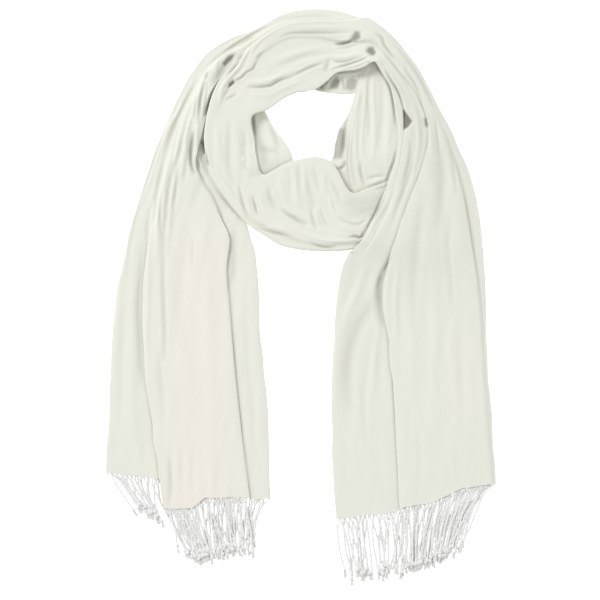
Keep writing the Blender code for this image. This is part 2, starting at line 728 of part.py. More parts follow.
def fringe(row, tail):
    """A narrow woven strip along the hem with strands that grow out of its far face."""

    def build(work):
        shares = strand_shares(row, tail)
        past = tail.past()
        aside = np.array([past[1], -past[0]]) * 0.5 * FRINGE_WIDTH
        spots = tail.hem_spots(shares)
        if (spots[-1] - spots[0]) @ aside < 0:
            aside = -aside
        roots = spots + past * (HEM_GAP + STRIP_DEPTH)
        backs = spots + past * HEM_GAP
        backs[0] -= aside
        backs[-1] += aside
        fronts = np.vstack([(root - aside, root + aside) for root in roots])

        def line(spots, side):
            z = row.height + side * 0.5 * FRINGE_THICKNESS
            return [work.verts.new((*spot, z)) for spot in spots]

        low, high = line(fronts, -1), line(fronts, 1)
        back_low, back_high = line(backs, -1), line(backs, 1)
        for front, back in ((low, back_low), (high, back_high)):
            for i in range(row.strands):
                work.faces.new((back[i], front[2 * i], front[2 * i + 1]))
            for i in range(row.strands - 1):
                work.faces.new((back[i], front[2 * i + 1], front[2 * i + 2], back[i + 1]))
        for i in range(row.strands - 1):
            work.faces.new((back_low[i], back_low[i + 1], back_high[i + 1], back_high[i]))
            j = 2 * i + 1
            work.faces.new((low[j], low[j + 1], high[j + 1], high[j]))
        for i in (0, -1):
            work.faces.new((back_low[i], low[i], high[i], back_high[i]))
        tips = line_places(row.tips, row.strands)
        bows = np.linspace(*row.bows, row.strands)
        for i in range(row.strands):
            root_quad = (low[2 * i], low[2 * i + 1], high[2 * i + 1], high[2 * i])
            bow = bows[i] + BOW_CHANGE * math.sin(BOW_TURN * i + row.height)
            grow_strand(work, root_quad, strand_sections(roots[i], tips[i], row, bow))

    return build


def grow_strand(work, root_quad, sections):
    previous = root_quad
    facing = previous[1].co.xy - previous[0].co.xy
    for centre, across, half_height, z in sections:
        if across @ np.array(facing) < 0:
            across = -across
        corners = ((-1, -1), (1, -1), (1, 1), (-1, 1))
        ring = [work.verts.new((*(centre + a * across), z + b * half_height)) for a, b in corners]
        for i in range(4):
            j = (i + 1) % 4
            work.faces.new((previous[i], previous[j], ring[j], ring[i]))
        previous = ring
    work.faces.new(previous)


# ---------------------------------------------------------------- the shawl


def main():
    for item in list(bpy.data.objects):
        bpy.data.objects.remove(item, do_unlink=True)

    trees = {}

    def add(name, stretch, below=(), columns=8):
        under = Draped([trees[n] for n in below], columns) if below else Floor()
        trees[name] = add_object(name, loft(stretch, under), CLOTH_COLOUR)

    shoulder, left_turn, crossing = 10, 8, 20  # stations at which one stretch goes on into the next
    under_folds = [LEFT_PANEL_FOLD, LEFT_TAIL_RIDGE, RIGHT_PANEL_FOLD]
    tail_left = Stretch(UNDER_SECTIONS, under_folds, 0, shoulder, 22, 2, 1, LEFT_HEM, 0)
    add("tail_left", tail_left)
    neck_folds = [LEFT_PANEL_FOLD, RIGHT_PANEL_FOLD]
    add("neck_under", Stretch(UNDER_SECTIONS, neck_folds, shoulder, 23, 24, 2, 1))
    add("loop_drop", Stretch(DROP_SECTIONS, [DROP_VALLEY, DROP_INNER_FOLD], 0, 10, 14, 2, 1))
    add("loop_inner", Stretch(INNER_SECTIONS, [INNER_CREASE], 0, 6, 8, 2, 1))
    low = ("tail_left", "neck_under", "loop_drop", "loop_inner")
    cowl_folds = [COWL_ROLL, COWL_VALLEY]
    add("loop_front", Stretch(OVER_SECTIONS, cowl_folds, 0, left_turn, 18, 3, 1), low)
    low += ("loop_front",)
    band_folds = [RIM_FOLD, BAND_VALLEY]
    add("neck_over", Stretch(OVER_SECTIONS, band_folds, left_turn, crossing, 26, 3, 1), low)
    low += ("neck_over",)
    tail_folds = [RIGHT_EDGE_FOLD, RIM_FOLD, RIGHT_STRIP_FOLD]
    tail_right = Stretch(OVER_SECTIONS, tail_folds, crossing, 40, 40, 3, 1, RIGHT_HEM, -1)
    add("tail_right", tail_right, low)

    tails = {"left": tail_left, "right": tail_right}
    for row in FRINGE_ROWS:
        add_object(row.name, fringe(row, tails[row.tail]), FRINGE_COLOUR)


main()
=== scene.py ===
"""The looks of a pashmina shawl that is folded lengthwise, wound once round a neck opening and laid flat.

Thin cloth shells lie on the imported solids' form and carry the finer folds, creases and weave, and
twisted, knotted strands replace the plain ones of the fringe.

Tables are in millimetres in the frame's axes: X to the right, Y towards the neck, Z up from the
surface. Objects are in metres.
"""

import math
from collections import namedtuple

import bpy
import numpy as np
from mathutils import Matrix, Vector
from mathutils.bvhtree import BVHTree


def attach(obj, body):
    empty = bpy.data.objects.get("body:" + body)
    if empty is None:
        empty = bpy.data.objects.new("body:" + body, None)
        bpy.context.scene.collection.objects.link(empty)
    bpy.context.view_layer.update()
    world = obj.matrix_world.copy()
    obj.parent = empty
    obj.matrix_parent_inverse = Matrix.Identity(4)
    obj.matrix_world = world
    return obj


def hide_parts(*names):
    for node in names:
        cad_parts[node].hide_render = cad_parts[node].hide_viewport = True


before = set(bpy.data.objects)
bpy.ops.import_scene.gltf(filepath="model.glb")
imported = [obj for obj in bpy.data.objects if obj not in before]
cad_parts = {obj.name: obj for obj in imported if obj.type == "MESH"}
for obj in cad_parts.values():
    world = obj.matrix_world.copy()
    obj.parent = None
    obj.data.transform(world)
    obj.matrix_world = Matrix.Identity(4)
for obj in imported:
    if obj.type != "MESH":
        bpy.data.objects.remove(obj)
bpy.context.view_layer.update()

MM = 0.001

# ---------------------------------------------------------------- driving sizes

FINENESS = 1.0
COLUMNS = int(123 / FINENESS)  # across the top of the cloth
CLOTH_THICKNESS = 0.7
LEAST_LINING = 0.2  # the inside of the cloth stays this far above the surface
NOSE_HEIGHT = 2.3  # of one folded layer at a side edge
NOSE_DEPTH = 1.5
NOSE_INSET = 0.9  # how far in from the edge the lower layers stop, on average
NOSE_TURNS = np.radians((70, 42, 14, -14, -42, -70))  # the directions of the points round a nose
SKIRT_DEPTH = 3.2  # how far the lowest layer rounds out where it reaches down to the surface
LOW_SKIRT, SKIRT_SLOPE = 0.7, 0.35  # its depth where it is lowest, and the growth of that with its height
LEAST_SIDE = 0.8  # height of a side edge
GROOVE = 3.8  # depth of the grooves between the layers
EDGE_ROUND = 6.0  # over this width the top rounds down to its side
EDGE_DROP = 0.9
EDGE_CALM = 3.5  # over this width the creases and the unevenness die away towards a side edge
LAY_GAP = 0.5  # between a stretch and what it lies on
LEAST_WALL = 2.0  # between the underside and the top
PRESSED_WALL = 1.0  # what a crease or a pit leaves of that
REACH = 5.0  # how far round a place an upper layer feels what is under it
ABOVE_ALL = 200.0  # the height from which what lies below is looked for
HEM_BLEND = 60.0  # over this length the straight rows turn into the hem's outline
HEM_ROWS = 3  # the hem's direction is taken over so many rows
FOLD_STEEPNESS = 1.2
FOLD_OUTSIDE = 0.4  # a fold still counts this far outside an edge, as a share of the width
FOLD_FADE = 14.0  # past its ends a fold dies away over this length
FOLD_SHADE, FULL_LAP = 0.8, 3  # the shade beside a fold, reached where it doubles back this far
SHADE_AT, SHADE_WIDTH = 0.55, 0.6  # where that shade lies on the low side, in widths of the fold
FOOT_COLUMNS = 14  # across the underside
FOOT_INSET = 2.4
SOFTENING_PASSES = 3

# Counts of the points between which lines are read, and how the points on top crowd together.
FOLD_STEPS, PATH_STEPS, CREASE_STEPS = 16, 40, 6
TOP_SAMPLES = 500
FOLD_CROWD, CROWD_REACH, FULL_FOLD = 3.5, 1.5, 4
EDGE_CROWD, EDGE_CROWD_WIDTH = 1.2, 5.0

# A crease's form: how far its sides reach in its widths, how full it stays towards its ends, the low rims
# beside it and how much narrower than the crease its shade is.
CREASE_REACH = 4
CREASE_FULLNESS = 0.7
RIM_HEIGHT, RIM_AT = 0.28, 2.0
SHADE_NARROWER = 1.3

# A pit's form: how far outside its outline it begins, the share of its depth that is pressed in and how
# closely its shade keeps to the bottom.
PIT_MARGIN = 2.0
PIT_PRESSED = 0.7
PIT_SHADE = 1.6

# Kinds of unevenness: how high the bumps are, how long they are along the cloth and across it, and the
# number that sets their random draw apart from the others.
Bumps = namedtuple("Bumps", "height along across draw")

UNEVENNESS = [Bumps(0.45, 70.0, 16.0, 11), Bumps(0.28, 34.0, 7.0, 12), Bumps(0.10, 9.0, 3.5, 13)]
EDGE_WAVES = [Bumps(0.7, 22.0, 1.0, 0), Bumps(0.25, 9.0, 1.0, 5)]
HEM_WAVE = Bumps(0.5, 6.0, 1.0, 31)
NOSE_WAVE = Bumps(1.6, 45.0, 1.0, 60)
FOLD_WAVE = Bumps(1.0, 26.0, 1.0, 40)
TONE_BUMPS = Bumps(0.12, 60.0, 60.0, 5)
LAP_VARIES, RISE_VARIES = 0.35, 0.08  # the shares of a fold's lap and rise that its wave changes
LAYER_APART, SIDE_APART = 7.0, 3.0  # how far apart in the noise two layers' and two sides' waves lie
LATTICE = 64  # cells of the noise before it repeats

# ---------------------------------------------------------------- the cloth's path

# The rows of each table have the columns of one of these tuples.

# A section of a stretch: its outer and inner ends, and the height of the cloth's top at each.
Section = namedtuple("Section", "outer_x outer_y inner_x inner_y outer_top inner_top")

# A place on a fold's line: the step up beyond it, how far the cloth doubles back and the fold's width.
Place = namedtuple("Place", "x y rise lap width")

# The spacing of rows along a sheet: at a station, which is a section's number, the gap to the next row.
Spacing = namedtuple("Spacing", "station gap")

# from the left hem up over the shoulder and round the arch to the pinch
UNDER_SECTIONS = [
    (-215.6, -206, -34, -222, 4.0, 4.0),
    (-214, -170, -36, -175, 4.0, 4.0),
    (-212, -130, -37, -130, 4.0, 4.0),
    (-210, -80, -40.5, -82, 4.0, 4.0),
    (-208, -35, -46, -38, 4.0, 4.0),
    (-203, 8, -47, 8, 4.0, 4.0),
    (-196, 42, -50, 42, 4.2, 4.0),
    (-188, 78, -59, 78, 4.5, 4.0),
    (-178, 111, -68, 106, 5.0, 4.2),
    (-168, 141, -80, 132, 5.5, 5.0),
    (-159, 166.5, -88, 155, 6.0, 6.0),
    (-150, 189, -90, 176, 7.0, 7.0),
    (-141, 208.5, -88, 195, 8.0, 7.5),
    (-131, 231, -83, 211, 9.0, 8.0),
    (-119, 251, -76, 226, 9.0, 8.0),
    (-102.5, 270, -65, 240, 9.0, 8.0),
    (-78.5, 285.5, -50, 251, 9.0, 8.0),
    (-49.5, 296.5, -34, 259, 9.0, 8.0),
    (-21, 311.5, -13, 260, 9.0, 8.0),
    (9, 317, 8, 233, 9.0, 8.0),
    (37, 316, 28, 225, 9.0, 8.0),
    (57, 310.5, 48, 223, 9.0, 8.0),
    (70, 305, 60, 226.5, 8.0, 7.0),
    (77, 299, 69, 240, 7.0, 5.0),
]

# from the pinch down the right of the neck opening
DROP_SECTIONS = [
    (88, 266, 70, 267, 8.0, 7.0),
    (93, 253, 65, 252, 10.0, 8.0),
    (99, 236, 61, 236, 11.0, 8.0),
    (106, 218, 57, 218, 12.0, 8.0),
    (111, 200, 50, 200, 12.0, 7.0),
    (113, 184, 41, 185, 12.0, 6.0),
    (113, 168, 37, 169, 12.0, 6.0),
    (113, 152, 35, 155, 12.0, 6.0),
    (112, 136, 27, 143, 10.0, 6.0),
    (108, 118, 34, 127, 7.0, 6.0),
    (102, 104, 46, 110, 5.0, 4.5),
]

# the low layer between the opening and the left turn
INNER_SECTIONS = [
    (-68, 208, -44, 211, 7.0, 4.0),
    (-68, 196, -36, 197, 9.0, 5.0),
    (-67, 183, -28, 184, 10.0, 5.0),
    (-64, 170, -17.5, 171, 13.0, 7.0),
    (-61, 158, -11, 159, 15.5, 10.0),
    (-59, 146, -10, 147, 15.5, 10.0),
    (-58, 132, -14, 132, 12.0, 6.0),
]

# across the cowl, round the left turn and the inner band, over the crossing and down to the right hem
OVER_SECTIONS = [
    (82, 62, 98, 130, 8.0, 9.0),
    (64, 56, 72, 120, 10.0, 12.0),
    (47, 52, 54, 117, 11.0, 14.0),
    (26, 50, 36, 145, 11.0, 15.0),
    (4, 51, 18, 154, 11.0, 15.0),
    (-18, 56, -2, 151.5, 11.0, 15.0),
    (-37, 65, -18, 147, 11.0, 15.0),
    (-57, 79, -42, 135, 12.0, 15.0),
    (-84, 109, -49, 151, 14.0, 16.0),
    (-101.5, 138, -51, 172, 16.0, 17.0),
    (-107, 167, -55, 192, 18.0, 18.0),
    (-104.5, 195, -52, 201, 19.0, 18.0),
    (-97, 223, -38, 206, 20.0, 18.0),
    (-85, 245, -22, 217, 21.0, 18.0),
    (-67, 266, -7, 225, 21.0, 18.0),
    (-43, 285, 6, 227, 21.0, 18.0),
    (-18, 299, 17, 229, 21.0, 18.0),
    (10, 304, 27, 237, 22.0, 18.0),
    (37, 304, 37, 246, 23.0, 19.0),
    (57, 305, 48, 249, 24.0, 21.0),
    (71, 307.5, 59, 250, 24.0, 24.0),
    (85, 300, 69, 253, 23.0, 26.0),
    (100, 288, 77, 258, 20.0, 27.0),
    (115, 271, 82, 258, 16.0, 27.0),
    (130.5, 250, 85, 253, 12.0, 26.0),
    (142, 228, 90.5, 243, 10.0, 25.0),
    (152.5, 206.5, 97.5, 230, 8.5, 23.0),
    (164, 185, 102.5, 207, 7.0, 22.0),
    (173.5, 163.5, 106, 186, 6.0, 21.0),
    (183, 142.5, 105, 160, 5.0, 20.0),
    (191, 115, 98.5, 137, 4.5, 19.0),
    (196, 87, 90.5, 113, 4.0, 18.5),
    (199.5, 59, 80, 88, 4.0, 18.0),
    (201, 36, 67, 64, 4.0, 17.0),
    (203, 10, 50, 46, 4.0, 12.0),
    (203, -14, 42.5, 22, 4.0, 7.0),
    (204, -44, 37.5, -16, 4.0, 4.5),
    (206, -86, 34, -70, 4.0, 4.0),
    (209, -127, 33, -124, 4.0, 4.0),
    (212, -170, 34, -177, 4.0, 4.0),
    (215, -207, 36, -222, 4.0, 4.0),
]

LEFT_PANEL_FOLD = [
    (-146, -250, 4.5, 3.0, 3.0),
    (-155, -212, 4.5, 3.0, 3.0),
    (-163, -146, 4.5, 3.0, 3.0),
    (-170, -90, 4.5, 3.2, 3.0),
    (-175, -25, 4.5, 3.2, 3.0),
    (-172.5, 30, 4.5, 3.0, 3.0),
    (-169, 60, 4.8, 1.5, 3.5),
    (-165, 86, 5.0, 0.0, 5.0),
    (-158, 115, 5.5, 0.0, 6.0),
    (-134, 184, 6.0, 0.0, 6.0),
    (-117, 226, 6.0, 0.0, 5.0),
    (-100, 255, 6.0, 0.5, 4.0),
    (-62, 281, 5.5, 0.5, 4.0),
    (-18, 304, 5.0, 0.0, 4.0),
    (37, 308, 5.0, 0.0, 4.0),
    (80, 300, 4.0, 0.0, 4.0),
]
RIGHT_PANEL_FOLD = [
    (-54, -245, -3.0, 1.2, 3.0),
    (-57, -217, -3.0, 1.2, 3.0),
    (-66, -146, -3.0, 1.4, 3.0),
    (-74, -70, -3.2, 1.6, 3.0),
    (-79, -8, -3.2, 1.4, 3.2),
    (-82, 30, -3.2, 1.2, 3.4),
    (-80, 62, -3.8, 2.6, 2.8),
    (-87, 84, -3.8, 2.2, 2.8),
    (-97, 109, -3.2, 0.6, 3.2),
    (-108, 128, -3.8, 0.2, 3.2),
    (-116, 148, -5.0, 1.4, 2.8),
    (-111, 172, -5.5, 1.5, 2.6),
    (-103, 200, -5.5, 1.0, 3.0),
    (-93, 228, -5.5, 1.0, 3.0),
    (-78, 251, -5.5, 1.0, 3.0),
    (-40, 282, -5.5, 1.0, 3.0),
    (9, 300, -5.0, 1.0, 3.0),
    (62, 296, -5.0, 1.0, 3.0),
    (84, 286, -4.0, 1.0, 3.0),
]
DROP_INNER_FOLD = [
    (72, 272, -1.0, 0.0, 4.0),
    (68, 250, -1.5, 0.0, 4.0),
    (61, 216, -2.5, 0.3, 3.5),
    (56, 190, -3.8, 0.8, 3.0),
    (52, 160, -4.2, 1.0, 3.0),
    (52, 134, -3.0, 0.5, 2.5),
    (60, 104, -1.0, 0.0, 2.5),
]
INNER_CREASE = [
    (-56, 214, -3.0, 0.0, 3.0),
    (-52, 190, -3.6, 0.0, 3.0),
    (-44, 160, -1.2, 0.0, 4.0),
    (-40, 128, -0.6, 0.0, 4.0),
]
COWL_ROLL = [
    (88, 58, 1.0, 0.0, 3.5),
    (64, 63, 2.0, 0.4, 3.5),
    (31, 58, 2.2, 0.5, 3.5),
    (10, 60, 2.2, 0.5, 3.5),
    (-22, 70, 2.0, 0.4, 3.5),
    (-46, 82, 1.2, 0.0, 3.5),
    (-78, 112, 0.0, 0.0, 3.5),
]
RIM_FOLD = [
    (-100, 190, 0.0, 0.0, 4.0),
    (-91, 210, -0.6, 0.2, 3.0),
    (-79, 232, -1.6, 0.9, 2.5),
    (-66, 242, -1.6, 0.3, 2.8),
    (-54, 251, -1.5, 0.4, 2.8),
    (-47, 265, -1.5, 0.5, 2.8),
    (-33, 276, -1.4, 0.3, 3.0),
    (-12, 286, -1.3, 0.3, 3.2),
    (10, 287, -1.3, 0.3, 3.4),
    (32, 283, -2.0, 0.6, 3.2),
    (56, 281, -3.0, 0.8, 3.2),
    (78, 281, -3.8, 0.5, 3.8),
    (92, 269, -4.0, 0.7, 4.0),
    (108, 248, -4.2, 1.0, 4.0),
    (126, 226, -4.6, 1.5, 3.8),
    (138, 194, -5.0, 2.2, 3.6),
    (139, 166, -5.0, 3.5, 3.5),
    (126, 124, -5.0, 3.5, 3.5),
    (110, 82, -5.0, 4.0, 3.5),
    (96, 41, -5.0, 4.0, 3.5),
    (91, -3, -4.5, 4.0, 3.5),
    (98, -60, -4.5, 3.5, 3.5),
    (104, -146, -4.5, 3.0, 3.5),
    (108, -223, -4.5, 3.0, 3.5),
    (110, -260, -4.5, 3.0, 3.5),
]
RIGHT_EDGE_FOLD = [
    (92, 290, 0.0, 0.0, 3.0),
    (118, 262, 1.5, 0.0, 3.0),
    (146, 205, 2.4, 0.2, 3.0),
    (163, 165, 3.0, 0.4, 3.0),
    (177, 118, 3.0, 0.8, 3.0),
    (187, 62, 3.0, 1.0, 3.0),
    (195, 8, 3.0, 0.6, 3.0),
    (200, -58, 3.0, 0.0, 3.0),
    (205, -130, 3.0, 0.0, 3.0),
    (212, -215, 3.0, 0.0, 3.0),
    (214, -245, 3.0, 0.0, 3.0),
]
RIGHT_STRIP_FOLD = [
    (86, 264, 0.0, 0.0, 2.0),
    (94, 248, -2.0, 0.6, 2.0),
    (104, 230, -3.5, 1.2, 2.2),
    (110, 215, -4.5, 1.5, 2.4),
    (113, 203, -5.5, 1.5, 2.6),
    (113, 186, -5.0, 1.5, 2.4),
    (111, 165, -4.0, 1.5, 2.2),
    (108, 146, -2.5, 1.0, 2.2),
    (104, 126, -1.5, 0.4, 2.4),
    (98, 104, -2.0, 0.6, 2.4),
    (90, 87, -2.8, 1.0, 2.4),
    (82, 72, -3.2, 1.2, 2.4),
    (76, 60, -2.5, 0.8, 2.4),
    (70, 50, -1.0, 0.0, 2.4),
    (64, 40, 0.0, 0.0, 2.4),
]

# A point of a hem's outline: at a share across from the outer edge, how far the cloth reaches past the
# line of its last section.
HemPoint = namedtuple("HemPoint", "share reach")

LEFT_HEM = [
    (0.0, -13),
    (0.325, -12),
    (0.345, 21),
    (0.52, 17),
    (0.60, 5),
    (0.86, 0),
    (0.90, 2),
    (1.0, -1),
]
RIGHT_HEM = [
    (0.0, -2),
    (0.21, 0),
    (0.29, 5),
    (0.40, 13),
    (0.575, 15),
    (0.63, 20),
    (1.0, 22),
]

# A crease: how deep it is (a ridge's height when negative), its half width, how much painted shade darkens
# its bottom, as falls where two layers touch, and the places that it runs through.
Crease = namedtuple("Crease", "depth width grip places")

# A pit where several folds meet: the depth, how far in from its outline it goes on deepening, the painted
# shade at the bottom and the corners of the outline.
Pit = namedtuple("Pit", "depth soft grip corners")

UNDER_CREASES = [
    # pleats that run down from the pinch over the left shoulder
    (1.7, 2.0, 0.30, [(-114, 240), (-124, 222), (-136, 197), (-142, 181), (-147, 166), (-150, 152)]),
    (1.5, 2.0, 0.25, [(-149, 158), (-154, 140), (-157, 126), (-160, 112), (-162, 94), (-165, 74)]),
    (1.5, 2.0, 0.25, [(-119, 216), (-127, 192), (-131, 176), (-134, 160), (-138, 146), (-143, 126)]),
    (1.5, 2.1, 0.30, [(-140, 152), (-144, 132), (-147, 112), (-149, 92), (-151, 72), (-152, 48)]),
    (1.2, 2.4, 0.25, [(-152, 66), (-152, 40), (-152, 14), (-151, -14), (-150, -46), (-151, -72)]),
    (-1.3, 2.4, 0.0, [(-121, 200), (-127, 180), (-128, 164), (-130, 148), (-133, 132)]),
    (-1.2, 2.2, 0.0, [(-130, 212), (-137, 190), (-141, 172), (-145, 154), (-150, 134), (-154, 112)]),
    (-1.0, 2.4, 0.0, [(-123, 228), (-134, 206), (-146, 186), (-152, 168), (-157, 148)]),
    (-0.9, 2.6, 0.0, [(-138, 138), (-142, 112), (-145, 86), (-146, 60)]),
    (-0.9, 2.6, 0.0, [(-155, 108), (-158, 88), (-159, 62), (-160, 36)]),
    (1.0, 2.0, 0.10, [(-144, 206), (-151, 186), (-156, 170), (-162, 154), (-168, 136), (-176, 112)]),
    (-0.8, 2.2, 0.0, [(-140, 206), (-148, 190), (-154, 174), (-162, 146)]),
    (1.0, 2.0, 0.15, [(-162, 112), (-167, 94), (-170, 74), (-172, 60)]),
    (0.7, 2.4, 0.05, [(-176, 104), (-183, 80), (-189, 50), (-192, 20)]),
    (-0.8, 2.2, 0.0, [(-167, 62), (-168, 30), (-169, -4), (-170, -44), (-168, -84)]),
    (-1.4, 2.2, 0.0, [(-109, 214), (-114, 192), (-115, 168), (-113, 152), (-107, 138), (-99, 122)]),
    (2.2, 2.2, 1.0, [(-119, 184), (-121, 168), (-122, 154), (-121, 144), (-117, 135)]),
    (0.9, 1.2, 0.5, [(-114, 152), (-113, 146), (-112, 141)]),
    (1.5, 1.5, 0.6, [(-106, 241), (-108, 231), (-111, 218), (-112, 205), (-113, 190)]),
    (1.0, 1.3, 0.4, [(-104, 239), (-104, 228), (-106, 214), (-109, 200)]),
    (-1.3, 1.7, 0.0, [(-100, 237), (-104, 226), (-108, 208), (-111, 192)]),
    (-1.0, 1.8, 0.0, [(-111, 234), (-115, 216), (-117, 200), (-119, 186)]),
    (1.0, 1.4, 0.4, [(-115, 222), (-117, 208), (-118, 196)]),
    # the arch, lengthwise
    (1.2, 1.7, 0.25, [(-102, 256), (-88, 268), (-74, 277), (-60, 285), (-48, 293), (-34, 299)]),
    (-0.9, 1.8, 0.0, [(-96, 264), (-80, 276), (-62, 288), (-44, 297), (-24, 304)]),
    (0.9, 1.4, 0.2, [(-72, 274), (-64, 279), (-57, 284), (-48, 288)]),
    (0.7, 1.8, 0.1, [(-30, 304), (-8, 307), (14, 309), (40, 308)]),
    (-1.0, 1.8, 0.0, [(-94, 246), (-92, 262), (-82, 270), (-70, 272)]),
    (1.1, 1.8, 0.2, [(-135, 146), (-137, 128), (-139, 112), (-142, 94)]),
    (0.9, 1.8, 0.15, [(-126, 158), (-127, 142), (-129, 126)]),
    (1.0, 1.8, 0.2, [(-154, 112), (-155, 92), (-155, 76), (-153, 64)]),
    # the shade along the left panel's edge, and beside the right one's
    (0.9, 3.2, 0.32, [
        (-173, 66), (-176, 44), (-178, 20), (-180, -8), (-179, -40), (-177, -74), (-173, -104),
    ]),
    (0.9, 4.5, 0.2, [(-74, 76), (-75, 54), (-75, 34), (-75, 12)]),
    # where the left turn lies on the tail, with painted shade along it
    (0.9, 1.8, 0.45, [(-97, 124), (-90, 114), (-80, 102), (-70, 91), (-62, 82)]),
    # the tail
    (0.5, 2.0, 0.12, [(-120, 70), (-120, 50), (-121, 28)]),
    (0.8, 6.0, 0.05, [(-126, 84), (-131, 40), (-133, -4), (-132, -60)]),
    (-0.8, 8.0, 0.0, [(-104, 90), (-104, 30), (-102, -40), (-98, -130)]),
    (0.6, 4.0, 0.0, [(-193, 20), (-196, -60), (-199, -130), (-203, -180)]),
    (-0.6, 5.0, 0.0, [(-186, 0), (-187, -70), (-184, -140), (-176, -190)]),
    (0.6, 4.0, 0.05, [(-62, 20), (-60, -50), (-54, -130), (-50, -190)]),
    (1.0, 2.2, 0.25, [(-146, -172), (-144, -196), (-144, -214), (-146, -232)]),
    (-0.6, 3.0, 0.0, [(-138, -150), (-136, -190), (-134, -228)]),
    (0.6, 3.0, 0.0, [(-118, -160), (-119, -196), (-118, -230)]),
    (-0.5, 3.0, 0.0, [(-100, -180), (-98, -206), (-97, -224)]),
    (0.7, 3.0, 0.1, [(-157, -60), (-155, -86), (-153, -112), (-152, -140)]),
    # the gap beside the inner band, darkened by its depth and by painted shade
    (5.0, 1.9, 1.0, [(-87, 239), (-94, 229), (-99, 219), (-102, 210), (-105, 198)]),
    (1.6, 4.4, 0.5, [(-74, 268), (-82, 259), (-88, 250), (-93, 241), (-97, 230)]),
    # the arch's top lies a little in the shade
    (0.2, 9.0, 0.09, [(-96, 270), (-60, 290), (-25, 303), (10, 308), (56, 306)]),
    # under the inner band, at the arch's right end
    (-1.6, 1.7, 0.0, [(30, 239), (36, 243), (48, 246), (60, 247), (70, 250)]),
    (-1.2, 1.0, 0.0, [(28, 242), (29, 236), (30, 229)]),
    (1.0, 1.4, 0.4, [(44, 244), (46, 236), (47, 228)]),
]
UNDER_PITS = [
    (2.6, 2.4, 0.9, [(-72, 268), (-80, 266), (-87, 257), (-84, 254), (-76, 261)]),
    (1.6, 1.5, 0.4, [(-106, 240), (-106, 246), (-102, 248), (-103, 241)]),
    (3.4, 3.4, 0.8, [(14, 229), (20, 239), (28, 244), (33, 242), (26, 234), (24, 228)]),
    (2.4, 3.8, 0.7, [(29, 228), (32, 239), (38, 246), (44, 239), (41, 229)]),
    (1.6, 5.0, 0.55, [(46, 228), (48, 240), (56, 245), (64, 240), (62, 228), (54, 225)]),
    (3.0, 2.5, 1.0, [(-111, 171), (-107, 175), (-102, 176), (-102, 158), (-108, 158)]),
]
DROP_CREASES = [
    (-1.7, 2.3, 0.0, [(66, 232), (59, 208), (54, 184), (52, 162), (53, 142), (57, 124)]),
    (1.0, 2.0, 0.15, [(68, 240), (67, 222), (65, 202), (63, 182), (63, 162), (64, 146)]),
    (1.6, 1.8, 0.4, [(65, 150), (65, 140), (67, 131), (70, 123)]),
    (1.5, 2.6, 0.4, [(50, 198), (48, 184), (46, 168), (45, 152)]),
    (1.6, 1.8, 0.6, [(32, 143), (40, 141), (46, 144), (49, 151)]),
    (1.2, 1.6, 0.5, [(104, 164), (102, 150), (97, 137), (92, 122)]),
    (1.4, 1.6, 0.55, [(80, 262), (86, 250), (92, 241), (98, 230), (101, 216), (103, 200), (104, 184)]),
    (1.0, 2.2, 0.12, [(76, 256), (74, 236), (74, 214), (75, 192), (74, 172)]),
    (-0.9, 2.6, 0.0, [(80, 250), (79, 226), (80, 200), (80, 172), (78, 146)]),
    (-0.8, 2.2, 0.0, [(71, 244), (69, 220), (67, 196), (66, 172), (67, 150)]),
    (0.8, 2.6, 0.1, [(88, 246), (89, 220), (88, 190), (86, 160)]),
    (-0.8, 3.0, 0.0, [(96, 228), (97, 200), (95, 168), (93, 142)]),
    (-1.1, 2.4, 0.0, [(70, 124), (78, 126), (86, 129), (94, 130)]),
    (0.8, 1.4, 0.3, [(73, 131), (82, 133), (92, 134)]),
]
DROP_PITS = [
    (1.2, 3.6, 0.5, [(24, 181), (38, 190), (49, 186), (49, 167), (45, 152), (24, 150)]),
]
INNER_CREASES = [
    (2.4, 1.9, 0.9, [(-56, 208), (-54, 200), (-53, 192), (-52, 184), (-51, 176)]),
    (0.8, 5.5, 0.2, [(-47, 176), (-43, 164), (-41, 152), (-40, 142)]),
    (-0.8, 3.0, 0.0, [(-40, 198), (-36, 184), (-31, 168), (-27, 154)]),
    (0.8, 2.4, 0.1, [(-34, 190), (-28, 178), (-22, 164)]),
    (0.9, 4.0, 0.2, [(-46, 164), (-36, 162), (-24, 160)]),
]
